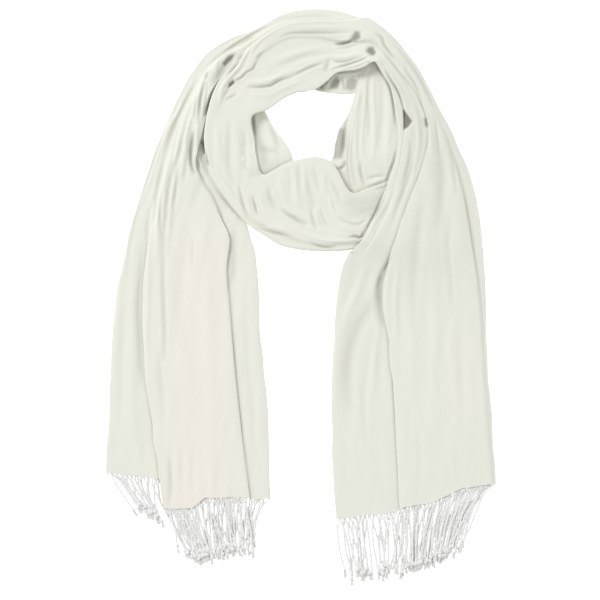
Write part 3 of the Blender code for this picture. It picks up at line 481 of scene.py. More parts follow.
OVER_CREASES = [
    # the cowl
    (1.8, 2.0, 0.4, [(-22, 97), (-15, 91), (-8, 87), (0, 82), (7, 79)]),
    (-1.0, 2.2, 0.0, [(-20, 102), (-10, 94), (0, 88), (8, 84)]),
    (1.2, 1.9, 0.25, [(10, 98), (12, 89), (14, 81), (18, 73)]),
    (-0.9, 1.7, 0.0, [(15, 95), (18, 86), (22, 77)]),
    (1.0, 1.7, 0.15, [(21, 100), (23, 91), (27, 82), (32, 76)]),
    (1.3, 13.0, 0.16, [(46, 104), (62, 98), (80, 98), (96, 102)]),
    (1.0, 4.0, 0.12, [(6, 132), (9, 119), (12, 106), (13, 92)]),
    (-0.9, 3.5, 0.0, [(-9, 126), (-5, 113), (-2, 99)]),
    (0.8, 4.0, 0.12, [(-38, 118), (-33, 106), (-26, 94)]),
    (0.8, 3.0, 0.12, [(-66, 96), (-58, 86), (-46, 80), (-32, 78)]),
    (-0.8, 1.8, 0.0, [(30, 112), (33, 100), (38, 90)]),
    (1.0, 1.5, 0.45, [(89, 112), (84, 98), (78, 86), (70, 72), (66, 64)]),
    (0.7, 2.4, 0.12, [(-4, 150), (-3, 139), (-2, 127), (-1, 114)]),
    (-0.7, 2.6, 0.0, [(3, 144), (4, 130), (6, 114)]),
    (0.8, 2.6, 0.1, [(14, 146), (16, 130), (20, 114)]),
    (-0.9, 2.4, 0.0, [(24, 138), (25, 126), (28, 116)]),
    (0.9, 2.4, 0.15, [(32, 130), (38, 118), (44, 106)]),
    (-1.3, 2.2, 0.0, [(-4, 74), (8, 68), (20, 64), (36, 62), (52, 61), (68, 61)]),
    (1.4, 1.7, 0.4, [(8, 61), (18, 57), (28, 55), (40, 56)]),
    (1.4, 1.9, 0.35, [(-50, 78), (-40, 74), (-30, 71), (-20, 69), (-10, 66)]),
    (-0.8, 2.4, 0.0, [(-52, 88), (-40, 80), (-26, 76), (-14, 74)]),
    (2.0, 1.6, 0.7, [(52, 66), (59, 67), (65, 66), (69, 73)]),
    (-0.8, 2.0, 0.0, [(34, 82), (46, 77), (58, 73), (66, 74)]),
    (0.9, 1.8, 0.2, [(40, 88), (52, 82), (62, 80), (72, 86)]),
    (1.2, 1.7, 0.35, [(-69, 124), (-66, 110), (-63, 99), (-58, 88)]),
    (-0.9, 1.8, 0.0, [(-60, 114), (-58, 102), (-54, 90)]),
    (1.4, 1.5, 0.5, [(-54, 112), (-51, 101), (-48, 90)]),
    (-0.7, 2.2, 0.0, [(-46, 116), (-43, 102), (-38, 90)]),
    (0.8, 2.4, 0.1, [(-36, 126), (-34, 110), (-28, 98)]),
    (-0.7, 3.0, 0.0, [(-24, 136), (-22, 120), (-16, 106)]),
    (0.7, 2.8, 0.05, [(-14, 142), (-12, 124), (-10, 108)]),
    # the left turn
    (0.9, 1.5, 0.6, [(-105, 160), (-104, 152), (-101, 144)]),
    (-1.0, 2.2, 0.0, [(-97, 142), (-88, 130), (-78, 116), (-68, 102), (-60, 92)]),
    (1.0, 3.0, 0.15, [(-79, 196), (-80, 168), (-79, 142), (-74, 122)]),
    (-0.9, 3.4, 0.0, [(-92, 196), (-92, 168), (-88, 144)]),
    (-0.8, 3.0, 0.0, [(-70, 190), (-70, 160), (-68, 132)]),
    (0.9, 2.4, 0.15, [(-62, 184), (-62, 160), (-61, 138)]),
    # the inner band
    (1.9, 1.7, 0.6, [(-60, 231), (-45, 231), (-33, 233), (-26, 237), (-18, 240), (-10, 242)]),
    (1.5, 1.7, 0.45, [(-14, 241), (-4, 246), (4, 250), (14, 254), (26, 258)]),
    (-1.1, 2.2, 0.0, [(-60, 237), (-44, 237), (-32, 240), (-20, 245), (-6, 251)]),
    (-0.8, 3.0, 0.0, [(-56, 224), (-38, 222), (-22, 229), (-6, 236), (8, 244)]),
    (1.2, 1.5, 0.3, [(-75, 238), (-66, 241), (-60, 247), (-53, 251), (-50, 258)]),
    (-1.7, 2.2, 0.0, [(-90, 216), (-86, 232), (-78, 243), (-70, 251), (-64, 261), (-57, 274), (-50, 283)]),
    (1.3, 1.5, 0.35, [(-84, 236), (-78, 247), (-71, 257), (-65, 267), (-58, 277)]),
    (-1.1, 1.9, 0.0, [(-84, 246), (-77, 257), (-70, 266), (-62, 277)]),
    (-1.0, 1.9, 0.0, [(-60, 256), (-55, 268), (-50, 277), (-42, 286), (-30, 292)]),
    (0.9, 1.5, 0.3, [(-84, 216), (-77, 220), (-70, 224)]),
    (-0.9, 2.2, 0.0, [(-16, 295), (10, 296), (34, 296), (60, 297)]),
    (1.3, 1.6, 0.3, [(-26, 284), (-14, 289), (4, 290), (30, 290), (56, 291)]),
    (-0.8, 3.5, 0.0, [(-34, 258), (-12, 266), (12, 272), (34, 272)]),
    (0.7, 3.0, 0.05, [(-38, 248), (-18, 256), (4, 264), (24, 268)]),
    (0.2, 12.0, 0.09, [(-56, 268), (-24, 288), (10, 293), (56, 293)]),
    # the pinch
    (2.4, 1.6, 0.8, [(36, 278), (46, 278.5), (56, 282)]),
    (-1.0, 1.3, 0.0, [(38, 275), (50, 276), (62, 279)]),
    (1.6, 1.3, 0.6, [(34, 259), (48, 259), (57, 262), (68, 266)]),
    (-1.3, 1.4, 0.0, [(28, 250), (40, 255), (50, 259), (62, 263), (76, 266)]),
    (1.3, 1.1, 0.5, [(38, 251), (50, 255), (62, 259), (73, 263)]),
    (-1.3, 1.4, 0.0, [(44, 250.5), (58, 254), (68, 258), (78, 263)]),
    (-0.9, 2.0, 0.0, [(18, 262), (32, 264), (48, 264), (62, 269)]),
    (1.0, 2.6, 0.3, [(26, 246), (28, 254), (30, 262)]),
    (2.0, 1.4, 0.8, [(68, 251), (73, 253), (75, 259)]),
    # the right shoulder
    (1.3, 1.8, 0.4, [(80, 290), (88, 285), (91, 277), (96, 270), (103, 261)]),
    (-1.0, 2.0, 0.0, [(86, 292), (96, 281), (106, 268), (116, 254), (126, 240)]),
    (-1.1, 2.0, 0.0, [(84, 276), (92, 264), (101, 252), (110, 240), (118, 228)]),
    (1.0, 1.8, 0.2, [(104, 276), (116, 262), (126, 248), (134, 234), (141, 220), (146, 206)]),
    (-0.8, 1.8, 0.0, [(112, 272), (122, 258), (132, 242), (142, 224)]),
    (1.0, 1.8, 0.2, [(145, 202), (148, 188), (150, 172), (152, 154)]),
    (-0.9, 2.2, 0.0, [(128, 218), (134, 206), (140, 190), (143, 172), (142, 152)]),
    (-0.9, 2.4, 0.0, [(120, 216), (126, 200), (129, 180), (127, 158), (122, 138)]),
    (1.4, 1.5, 0.5, [(92, 250), (97, 240), (103, 231), (108, 222), (111, 213), (113, 205)]),
    (1.2, 2.0, 0.2, [(113, 258), (117, 246), (124, 236), (130, 222), (134, 208)]),
    (0.9, 1.6, 0.25, [(120, 176), (119, 156), (115, 138), (110, 120)]),
    (0.8, 2.2, 0.15, [(158, 178), (164, 158), (168, 136), (171, 110)]),
    # the right tail
    (-0.9, 2.2, 0.0, [(98, 118), (92, 102), (85, 90), (78, 78), (73, 68)]),
    (1.3, 6.0, 0.15, [(143, 180), (151, 155), (154, 130), (152, 100), (150, 70)]),
    (-0.9, 6.0, 0.0, [(165, 150), (171, 120), (174, 80), (174, 40)]),
    (0.8, 5.0, 0.1, [(134, 110), (128, 70), (124, 20), (122, -40)]),
    (0.6, 3.0, 0.1, [(163, 92), (161, 62), (164, 24), (167, -24)]),
    (-0.8, 6.0, 0.0, [(146, 60), (146, 0), (146, -80), (150, -150)]),
    (0.7, 5.0, 0.0, [(176, 0), (176, -70), (182, -150)]),
    (1.0, 1.6, 0.3, [(99, 44), (89, 27), (84, 12), (83, 0)]),
    (1.8, 3.6, 0.45, [(97, 48), (92, 32), (87, 16), (86, 2), (87, -16), (90, -34)]),
    (1.6, 7.5, 0.22, [(86, 6), (76, -10), (66, -25), (58, -40), (53, -60), (50, -90), (53, -128)]),
    (-0.9, 3.8, 0.0, [(72, 40), (62, 8), (52, -14), (46, -40)]),
    (-0.7, 3.2, 0.0, [(88, -20), (83, -46), (80, -74), (78, -110)]),
    (0.6, 3.0, 0.0, [(72, -70), (70, -120), (72, -180)]),
    (-0.9, 2.4, 0.0, [(107, 40), (104, 12), (104, -20), (106, -54)]),
    (1.0, 2.2, 0.2, [(124, 164), (118, 134), (106, 100), (97, 74)]),
    (0.6, 3.0, 0.0, [(130, -140), (131, -180), (130, -214)]),
    (-0.5, 3.0, 0.0, [(160, -140), (166, -180), (170, -208)]),
]
OVER_PITS = [
    (2.0, 3.6, 0.85, [(51, 280), (54, 286), (58, 293), (65, 292), (66, 284), (60, 280)]),
    (2.4, 2.8, 0.9, [(70, 270), (73, 275), (79, 275.5), (82.5, 269), (80, 264.5), (75.5, 265)]),
    (8.0, 1.2, 1.3, [(112.5, 205), (116, 200), (121, 193), (117.5, 188), (113, 185), (113, 194)]),
    (2.6, 1.4, 0.6, [(135.5, 197), (137.5, 196), (139, 190), (138.5, 187), (136.5, 188)]),
    (4.0, 1.0, 1.1, [(-80, 231), (-79, 235), (-75, 238), (-74, 235.5)]),
    (1.0, 2.0, 0.2, [(-51, 262), (-48, 268), (-41, 270), (-45, 263)]),
]


# ---------------------------------------------------------------- curves and noise


def smooth(knots, values, at):
    """Values on one smooth curve through the knots, read at the places asked for."""
    knots = np.asarray(knots, float)
    values = np.asarray(values, float)
    at = np.clip(np.asarray(at, float), knots[0], knots[-1])
    slopes = np.gradient(values, knots, axis=0)
    first = np.clip(np.searchsorted(knots, at, side="right") - 1, 0, len(knots) - 2)
    step = knots[first + 1] - knots[first]
    share = (at - knots[first]) / step
    if values.ndim == 2:
        step, share = step[:, None], share[:, None]
    start = (1 + 2 * share) * (1 - share) ** 2 * values[first]
    start += share * (1 - share) ** 2 * step * slopes[first]
    end = share**2 * (3 - 2 * share) * values[first + 1]
    end += share**2 * (share - 1) * step * slopes[first + 1]
    return start + end


def along(points):
    """Distance along a line to each of its points."""
    points = np.asarray(points, float)
    steps = np.linalg.norm(np.diff(points, axis=0), axis=1)
    return np.concatenate([[0.0], np.cumsum(steps)])


def curve(points, count):
    """Evenly spaced points on a smooth line through these."""
    points = np.asarray(points, float)
    lengths = along(points)
    return smooth(lengths, points, np.linspace(0, lengths[-1], count))


def eased(share):
    """A share that leaves 0 and reaches 1 softly."""
    share = np.clip(share, 0.0, 1.0)
    return share * share * (3 - 2 * share)


def bell(offset):
    """1 in the middle, and next to nothing at two widths from it."""
    return np.exp(-(offset**2))


def step_up(offset):
    """A soft step from 0 to 1, in widths from its middle."""
    return 0.5 * (1 + np.tanh(FOLD_STEEPNESS * offset))


def noise(x, y, cell_x, cell_y, seed):
    """Soft bumps between -1 and 1 over a plane, of the cell's size."""
    lattice = np.random.default_rng(seed).uniform(-1, 1, (LATTICE, LATTICE))
    gx, gy = np.asarray(x) / cell_x, np.asarray(y) / cell_y
    ix, iy = np.floor(gx).astype(int), np.floor(gy).astype(int)
    fx, fy = eased(gx - ix), eased(gy - iy)
    ix0, ix1, iy0, iy1 = (i % LATTICE for i in (ix, ix + 1, iy, iy + 1))
    low = lattice[ix0, iy0] * (1 - fx) + lattice[ix1, iy0] * fx
    high = lattice[ix0, iy1] * (1 - fx) + lattice[ix1, iy1] * fx
    return low * (1 - fy) + high * fy


def bumps(kind, run, across, seed):
    """Unevenness of one kind, at places along the cloth and across it."""
    return kind.height * noise(run, across, kind.along, kind.across, seed + kind.draw)


def table_of(kind, rows):
    """A table's rows as numbers, each row with the columns of its kind."""
    return np.array([kind(*row) for row in rows], float)


# ---------------------------------------------------------------- folded cloth


class Fold:
    """A fold's line over the surface, with what it does to the cloth at each place.

    It shapes only the rows between its first and last stations, as a wound sheet passes twice.
    """

    def __init__(self, places, first=0, last=math.inf):
        self.first, self.last = first, last
        table = table_of(Place, places)
        count = (len(table) - 1) * FOLD_STEPS + 1
        fine = smooth(np.arange(len(table)), table, np.linspace(0, len(table) - 1, count))
        self.path = fine[:, :2]
        self.values = fine[:, 2:]

    def crossing(self, outer, inner):
        """The share of a row at which the fold crosses it, with the fold's rise, lap and width there."""
        across = inner - outer
        rel = self.path - outer
        side = across[0] * rel[:, 1] - across[1] * rel[:, 0]
        for i in np.nonzero(side[:-1] * side[1:] <= 0)[0]:
            if side[i] == side[i + 1]:
                continue
            f = side[i] / (side[i] - side[i + 1])
            point = rel[i] + f * (rel[i + 1] - rel[i])
            share = float(point @ across / (across @ across))
            if -FOLD_OUTSIDE < share < 1 + FOLD_OUTSIDE:
                return share, self.values[i] + f * (self.values[i + 1] - self.values[i])
        return None


class Sheet:
    """One length of folded cloth: rows of points, each all round the cloth's folded section."""

    def __init__(self, sections, folds, creases, pits, spacing, layers, seed, hem=None, hem_end=0):
        self.table = table_of(Section, sections)
        self.folds = folds
        self.creases = [Crease(*row) for row in creases]
        self.pits = [Pit(*row) for row in pits]
        self.spacing = table_of(Spacing, spacing)
        self.layers = layers
        self.seed = seed
        self.hem = None if hem is None else table_of(HemPoint, hem)
        self.hem_end = hem_end
        self.feet = None
        self.lay_rows()
        self.find_crossings()

    def lay_rows(self):
        """Rows across the cloth, spaced along its path, each with its ends and the heights there."""
        knots = np.arange(len(self.table))
        fine = np.linspace(0, knots[-1], PATH_STEPS * len(knots))
        values = smooth(knots, self.table, fine)
        lengths = along((values[:, 0:2] + values[:, 2:4]) / 2)
        gap = FINENESS * np.interp(fine, self.spacing[:, 0], self.spacing[:, 1])
        passed = np.concatenate([[0.0], np.cumsum(np.diff(lengths) * 2 / (gap[1:] + gap[:-1]))])
        self.rows = int(passed[-1]) + 1
        self.length = np.interp(np.linspace(0, passed[-1], self.rows), passed, lengths)
        self.stations = np.interp(self.length, lengths, fine)
        values = smooth(knots, self.table, self.stations)
        self.outer, self.inner, self.tops = values[:, 0:2], values[:, 2:4], values[:, 4:6]
        across = self.inner - self.outer
        self.across = across / np.linalg.norm(across, axis=1)[:, None]
        for edge, turn in ((self.outer, 1), (self.inner, 2)):
            wave = sum(bumps(kind, self.length, 0 * self.length, self.seed + turn) for kind in EDGE_WAVES)
            edge += self.across * wave[:, None]
        self.width = np.linalg.norm(self.inner - self.outer, axis=1)

    def find_crossings(self):
        """For each fold and row, the share at which they cross, and the rise, lap and width there."""
        self.shares = np.zeros((len(self.folds), self.rows))
        self.values = np.zeros((len(self.folds), self.rows, 3))
        for k, fold in enumerate(self.folds):
            shaped = (self.stations >= fold.first) & (self.stations <= fold.last)
            found = {r: fold.crossing(self.outer[r], self.inner[r]) for r in np.nonzero(shaped)[0]}
            known = np.array([r for r in found if found[r] is not None])
            self.shares[k] = np.interp(range(self.rows), known, [found[r][0] for r in known])
            for r in range(self.rows):
                closest = known[np.argmin(abs(known - r))]
                self.values[k, r] = found[closest][1]
                fade = eased(1 - abs(self.length[closest] - self.length[r]) / FOLD_FADE)
                self.values[k, r, :2] *= fade
            wave = bumps(FOLD_WAVE, self.length, 0 * self.length, self.seed + k)
            self.values[k, :, 1] *= 1 + LAP_VARIES * wave
            self.values[k, :, 0] *= 1 + RISE_VARIES * wave

    def row_at(self, station):
        return int(np.argmin(abs(self.stations - station)))

    def columns(self, row, low, high):
        """Distances across for the points on top, closer together at the folds and the edges."""
        fine = np.linspace(low, high, TOP_SAMPLES)
        weight = np.ones_like(fine)
        for k in range(len(self.folds)):
            rise, lap, reach = self.values[k, row]
            here = self.shares[k, row] * self.width[row]
            strength = min(1.0, (abs(rise) + lap) / FULL_FOLD)
            weight += FOLD_CROWD * strength * bell((fine - here) / (CROWD_REACH * reach))
        near_low, near_high = (bell(gap / EDGE_CROWD_WIDTH) for gap in (fine - low, high - fine))
        weight += EDGE_CROWD * near_low + EDGE_CROWD * near_high
        total = np.concatenate([[0.0], np.cumsum((weight[1:] + weight[:-1]) / 2)])
        return np.interp(np.linspace(0, total[-1], COLUMNS), total, fine)

    def top(self, row, distance):
        """Places across, heights and painted shade of the cloth's top at these distances of one row."""
        width = self.width[row]
        shift = np.zeros_like(distance)
        height = np.full_like(distance, self.tops[row, 0])
        grip = np.zeros_like(distance)
        rises = 0.0
        for k in range(len(self.folds)):
            rise, lap, reach = self.values[k, row]
            offset = (distance - self.shares[k, row] * width) / reach
            ends = step_up((np.array([0.0, width]) - self.shares[k, row] * width) / reach)
            # the pull towards the fold is greatest, and equals the lap, at one width from it
            shift -= lap * math.exp(0.5) * offset * np.exp(-(offset**2) / 2)
            height += rise * (step_up(offset) - ends[0])
            rises += rise * (ends[1] - ends[0])
            # painted shade on the fold's low side, where it doubles back
            low_side = -np.sign(rise) * offset
            grip += min(1.0, lap / FULL_LAP) * FOLD_SHADE * bell((low_side - SHADE_AT) / SHADE_WIDTH)
        height += (self.tops[row, 1] - self.tops[row, 0] - rises) * distance / width
        for from_edge in (distance, width - distance):
            height -= EDGE_DROP * (1 - np.sqrt(1 - np.clip(1 - from_edge / EDGE_ROUND, 0, 1) ** 2))
        return distance + shift, height, grip

    def past(self):
        """The direction in which the hem lies."""
        beside = HEM_ROWS if self.hem_end == 0 else -1 - HEM_ROWS
        away = self.outer[self.hem_end] + self.inner[self.hem_end]
        away = away - self.outer[beside] - self.inner[beside]
        return away / np.linalg.norm(away)

    def spots(self, row, distance):
        """Points on the surface at these distances across one row."""
        found = self.outer[row] + np.outer(distance, self.across[row])
        if self.hem is None:
            return found
        end = (self.outer[self.hem_end] + self.inner[self.hem_end]) / 2
        near = eased(1 - np.linalg.norm((self.outer[row] + self.inner[row]) / 2 - end) / HEM_BLEND)
        reach = np.interp(distance / self.width[row], self.hem[:, 0], self.hem[:, 1])
        ragged = bumps(HEM_WAVE, distance, 0 * distance, self.seed)
        return found + np.outer((reach + ragged) * near, self.past())

    def nose_insets(self, row, side):
        """How far in from the edge each folded layer stops, from the top one down."""
        here = self.length[row]
        insets = [0.0]
        for layer in range(1, self.layers):
            wave = bumps(NOSE_WAVE, here, layer * LAYER_APART + side * SIDE_APART, self.seed)
            insets.append(NOSE_INSET + float(wave))
        return insets

    def side(self, row, low, high, side):
        """Distances from the edge and heights down the layers' noses, from the top."""
        total = max(high - low, LEAST_SIDE)
        thin = min(NOSE_HEIGHT, total / self.layers)
        insets = self.nose_insets(row, side)
        points = []
        top = high
        for layer, inset in enumerate(insets):
            last = layer == self.layers - 1
            tall = total - thin * (self.layers - 1) if last else thin
            depth = min(SKIRT_DEPTH, SKIRT_SLOPE * tall + LOW_SKIRT) if last else NOSE_DEPTH
            for turn in NOSE_TURNS:
                height = top - tall / 2 + tall / 2 * math.sin(turn)
                points.append((inset + depth * (1 - math.cos(turn)), height))
            top -= tall
            if not last:
                points.append((inset + GROOVE, top))
        return np.array(points)

    def lay(self, first, last, under):
        """Heights of the underside in these rows, where it follows what it lies on."""
        if self.feet is None:
            self.feet = np.zeros((self.rows, FOOT_COLUMNS))
            self.foot_places = np.linspace(FOOT_INSET, self.width - FOOT_INSET, FOOT_COLUMNS).T
        for row in range(first, last):
            for i, spot in enumerate(self.spots(row, self.foot_places[row])):
                self.feet[row, i] = under.height(*spot)

    def build(self):
        """The grid of points, row by row, all round the section, with its painted shade."""
        foot_heights = soften(self.feet)
        rows = []
        painted_shades = []
        for row in range(self.rows):
            width = self.width[row]
            foot = foot_heights[row]
            distance = self.columns(row, NOSE_DEPTH, width - NOSE_DEPTH)
            place, height, grip = self.top(row, distance)
            support = np.interp(place, self.foot_places[row], foot)
            height = np.maximum(height, support + LEAST_WALL)
            outer = self.side(row, foot[0], height[0], 0)
            inner = self.side(row, foot[-1], height[-1], 1)
            outer_spots = self.spots(row, outer[:, 0])
            inner_spots = self.spots(row, width - inner[:, 0])
            parts = [
                np.column_stack([outer_spots, outer[:, 1]])[::-1],
                np.column_stack([self.spots(row, place), height]),
                np.column_stack([inner_spots, inner[:, 1]]),
                np.column_stack([self.spots(row, self.foot_places[row]), foot])[::-1],
            ]
            rows.append(np.vstack(parts))
            zero = np.zeros(len(outer))
            painted_shades.append(np.concatenate([zero, grip, zero, np.zeros(FOOT_COLUMNS)]))
        self.first_top = len(outer)
        self.grid = np.array(rows)
        self.grip = np.array(painted_shades)
        self.press(foot_heights)
        self.turn_out()

    def turn_out(self):
        """Faces of the whole grid that point out, and each point's normal."""
        rows, count = self.grid.shape[:2]
        points = self.grid.reshape(-1, 3)
        faces = ring_faces(rows, count)
        across = points[faces[:, 2]] - points[faces[:, 0]]
        along_row = points[faces[:, 3]] - points[faces[:, 1]]
        normals = np.cross(across, along_row)
        middle = (rows // 2) * count + self.first_top + COLUMNS // 2
        self.flipped = normals[middle][2] < 0
        if self.flipped:
            normals = -normals
        total = np.zeros_like(points)
        for corner in range(4):
            np.add.at(total, faces[:, corner], normals)
        self.normals = (total / np.linalg.norm(total, axis=1)[:, None]).reshape(rows, count, 3)

    def press(self, foot_heights):
        """Adds the creases, the pits and the cloth's own small unevenness to the top, and the painted shade
        of the creases and pits.
        """
        span = slice(self.first_top, self.first_top + COLUMNS)
        top = self.grid[:, span]
        x, y = top[..., 0], top[..., 1]
        across = np.linalg.norm(top[..., :2] - self.outer[:, None], axis=2)
        run = np.repeat(self.length[:, None], COLUMNS, axis=1)
        edge = eased(np.minimum(across, self.width[:, None] - across) / EDGE_CALM)
        lift = sum(bumps(kind, run, across, self.seed) for kind in UNEVENNESS)
        grip = self.grip[:, span]
        for crease in self.creases:
            path = curve(crease.places, CREASE_STEPS * len(crease.places))
            near = box_mask(x, y, path, CREASE_REACH * crease.width)
            if not near.any():
                continue
            gap, share = nearest(np.column_stack([x[near], y[near]]), path)
            taper = np.clip(np.sin(math.pi * np.clip(share, 0.001, 0.999)), 0, 1) ** CREASE_FULLNESS
            offset = gap / crease.width
            lift[near] -= crease.depth * taper * (bell(offset) - RIM_HEIGHT * bell(offset - RIM_AT))
            # painted shade along the crease's bottom
            grip[near] += crease.grip * taper * bell(offset * SHADE_NARROWER)
        for pit in self.pits:
            corners = np.array(pit.corners, float)
            near = box_mask(x, y, corners, PIT_MARGIN + 0.5)
            inside = inside_by(np.column_stack([x[near], y[near]]), corners) + PIT_MARGIN
            deep = eased(inside / (pit.soft + PIT_MARGIN))
            lift[near] -= PIT_PRESSED * pit.depth * deep
            # painted shade at the pit's bottom
            grip[near] += pit.grip * deep**PIT_SHADE
        # the shade at the top's two edges goes on down the sides
        self.grip[:, : span.start] = self.grip[:, [span.start]]
        self.grip[:, span.stop : -FOOT_COLUMNS] = self.grip[:, [span.stop - 1]]
        height = top[..., 2] + lift * edge
        feet = zip(across, self.foot_places, foot_heights)
        support = np.array([np.interp(places, feet_at, heights) for places, feet_at, heights in feet])
        self.grid[:, span, 2] = np.maximum(height, support + PRESSED_WALL)

    def tree(self, first=0, last=None):
        """What an upper layer lies on."""
        grid = self.grid[first:last]
        rows, count = grid.shape[:2]
        return BVHTree.FromPolygons(grid.reshape(-1, 3).tolist(), ring_faces(rows, count).tolist())


def soften(heights):
    """Evens the underside out along the cloth without letting it sink."""
    out = heights.copy()
    for _ in range(SOFTENING_PASSES):
        padded = np.vstack([out[:1], out, out[-1:]])
        out = np.maximum(heights, (padded[:-2] + 2 * out + padded[2:]) / 4)
    return out


def box_mask(x, y, path, margin):
    """Which places lie in the box round a path, with a margin."""
    low, high = path.min(0) - margin, path.max(0) + margin
    return (x > low[0]) & (x < high[0]) & (y > low[1]) & (y < high[1])


def nearest(points, path):
    """Distance from each point to the path, and the share along the path at which it is nearest."""
    best = np.full(len(points), 1e9)
    share = np.zeros(len(points))
    lengths = along(path)
    for i in range(len(path) - 1):
        step = path[i + 1] - path[i]
        t = np.clip((points - path[i]) @ step / (step @ step), 0, 1)
        gap = np.linalg.norm(points - path[i] - t[:, None] * step, axis=1)
        closer = gap < best
        best[closer] = gap[closer]
        share[closer] = (lengths[i] + t[closer] * (lengths[i + 1] - lengths[i])) / lengths[-1]
    return best, share


def inside_by(points, corners):
    """How far inside a polygon each point is, negative outside it."""
    inside = np.zeros(len(points), bool)
    gap = np.full(len(points), 1e9)
    for a, b in zip(corners, np.roll(corners, -1, axis=0)):
        between = (a[1] > points[:, 1]) != (b[1] > points[:, 1])
        if a[1] != b[1]:
            inside ^= between & (points[:, 0] < (b[0] - a[0]) * (points[:, 1] - a[1]) / (b[1] - a[1]) + a[0])
        share = np.clip((points - a) @ (b - a) / ((b - a) @ (b - a)), 0, 1)
        gap = np.minimum(gap, np.linalg.norm(points - a - share[:, None] * (b - a), axis=1))
    return np.where(inside, gap, -gap)


def ring_faces(rows, count):
    """Faces between rows of points, each row closed to a ring."""
    i =np.arange(rows - 1)[:, None] * count
    j = np.arange(count)[None, :]
    k = (j + 1) % count
    return np.stack([i + j, i + k, i + count + k, i + count + j], axis=2).reshape(-1, 4)


class Floor:
    """The surface that the shawl lies on."""

    @staticmethod
    def height(x, y):
        return 0.0


class Draped:
    """An underside that follows what it lies on, and the surface where there is nothing."""

    DIRECTIONS = [(0.0, 0.0)] + [
        (REACH * math.cos(math.radians(a)), REACH * math.sin(math.radians(a))) for a in range(0, 360, 45)
    ]

    def __init__(self, trees):
        self.trees = trees

    def height(self, x, y):
        highest = 0.0
        for dx, dy in self.DIRECTIONS:
            for tree in self.trees:
                hit = tree.ray_cast(Vector((x + dx, y + dy, ABOVE_ALL)), Vector((0, 0, -1)))[0]
                if hit is not None:
                    highest = max(highest, hit.z + LAY_GAP)
        return highest


# ---------------------------------------------------------------- materials


# How a surface takes the light, beginning with how much of its yarn's relief shows.
Surface = namedtuple("Surface", "relief roughness specular sheen sheen_roughness")

CLOTH_SURFACE = Surface(0.16, 0.78, 0.25, 0.12, 0.45)
YARN_SURFACE = Surface(0.15, 0.85, 0.2, 0.4, 0.7)
CLOTH_COLOUR = (0.755, 0.772, 0.69)
PAINTED_SHADE_COLOUR = (0.34, 0.33, 0.31)  # painted shade: multiplies the cloth's colour in creases, pits and beside folds, where shade falls
YARN_COLOUR = (0.79, 0.79, 0.78)
WARMER = (1.085, 1.005, 1.02)  # multiplies the cloth's colour where its tone is warmest
UNEVEN_DYE = 0.05
RELIEF_DEPTH = 0.0002  # metres


def new_material(name):
    """A new material, with its node tree and its shader."""
    material = bpy.data.materials.new(name)
    material.use_nodes = True
    return material, material.node_tree, material.node_tree.nodes["Principled BSDF"]


def feed(tree, target, inputs):
    """Gives each of these inputs of a node its value, or a link to another node's output."""
    for name, value in inputs.items():
        if isinstance(value, bpy.types.NodeSocket):
            tree.links.new(value, target.inputs[name])
        else:
            target.inputs[name].default_value = value


def node(tree, kind, inputs, **settings):
    """A new node with its settings and inputs."""
    made = tree.nodes.new(kind)
    for name, value in settings.items():
        setattr(made, name, value)
    feed(tree, made, inputs)
    return made


def multiplied(tree, factor, a, b):
    """A colour multiplied by another, as far as the factor says."""
    inputs = {"Factor": factor, "A": a, "B": b}
    return node(tree, "ShaderNodeMix", inputs, data_type="RGBA", blend_type="MULTIPLY").outputs["Result"]


def finish(tree, shader, surface, height):
    """Gives the shader its relief and the way in which it takes the light."""
    relief = {"Strength": surface.relief, "Distance": RELIEF_DEPTH, "Height": height}
    look = {
        "Normal": node(tree, "ShaderNodeBump", relief).outputs["Normal"],
        "Roughness": surface.roughness,
        "Specular IOR Level": surface.specular,
        "Sheen Weight": surface.sheen,
        "Sheen Roughness": surface.sheen_roughness,
    }
    feed(tree, shader, look)


def cloth_material():
    """A fine twill of ivory yarn with a faint sheen, darkened by painted shade in creases, pits and beside
    folds.
    """
    material, tree, shader = new_material("ivory_twill")
    weave = node(tree, "ShaderNodeUVMap", {}, uv_map="weave").outputs["UV"]
    grip = node(tree, "ShaderNodeAttribute", {}, attribute_name="grip").outputs["Fac"]
    tone = node(tree, "ShaderNodeAttribute", {}, attribute_name="tone").outputs["Fac"]

    streaks = node(tree, "ShaderNodeMapping", {"Scale": (60.0, 1400.0, 1.0), "Vector": weave})
    slubs = {"Scale": 1.0, "Detail": 3.0, "Vector": streaks.outputs["Vector"]}
    yarn = node(tree, "ShaderNodeTexNoise", slubs).outputs["Fac"]

    warmest = [part * more for part, more in zip(CLOTH_COLOUR, WARMER)]
    tones = {"Factor": tone, "A": (*CLOTH_COLOUR, 1.0), "B": (*warmest, 1.0)}
    warm = node(tree, "ShaderNodeMix", tones, data_type="RGBA").outputs["Result"]
    dyed = multiplied(tree, UNEVEN_DYE, warm, yarn)
    # the base colour, darkened by painted shade in creases, pits and beside folds
    feed(tree, shader, {"Base Color": multiplied(tree, grip, dyed, (*PAINTED_SHADE_COLOUR, 1.0))})

    diagonals = {"Scale": 330.0, "Distortion": 0.6, "Detail": 1.0, "Vector": weave}
    twill = node(tree, "ShaderNodeTexWave", diagonals, wave_type="BANDS", bands_direction="DIAGONAL")
    height = node(tree, "ShaderNodeMath", {0: twill.outputs["Fac"], 1: yarn}, operation="ADD")
    finish(tree, shader, CLOTH_SURFACE, height.outputs["Value"])
    return material


def yarn_material():
    """The fringe's twisted yarn, dull and a little fuzzy."""
    material, tree, shader = new_material("ivory_yarn")
    place = node(tree, "ShaderNodeTexCoord", {}).outputs["Object"]
    fuzz = node(tree, "ShaderNodeTexNoise", {"Scale": 900.0, "Detail": 3.0, "Vector": place}).outputs["Fac"]
    feed(tree, shader, {"Base Color": multiplied(tree, UNEVEN_DYE, (*YARN_COLOUR, 1.0), fuzz)})
    finish(tree, shader, YARN_SURFACE, fuzz)
    return material


CLOTH = cloth_material()
YARN = yarn_material()


# ---------------------------------------------------------------- meshes


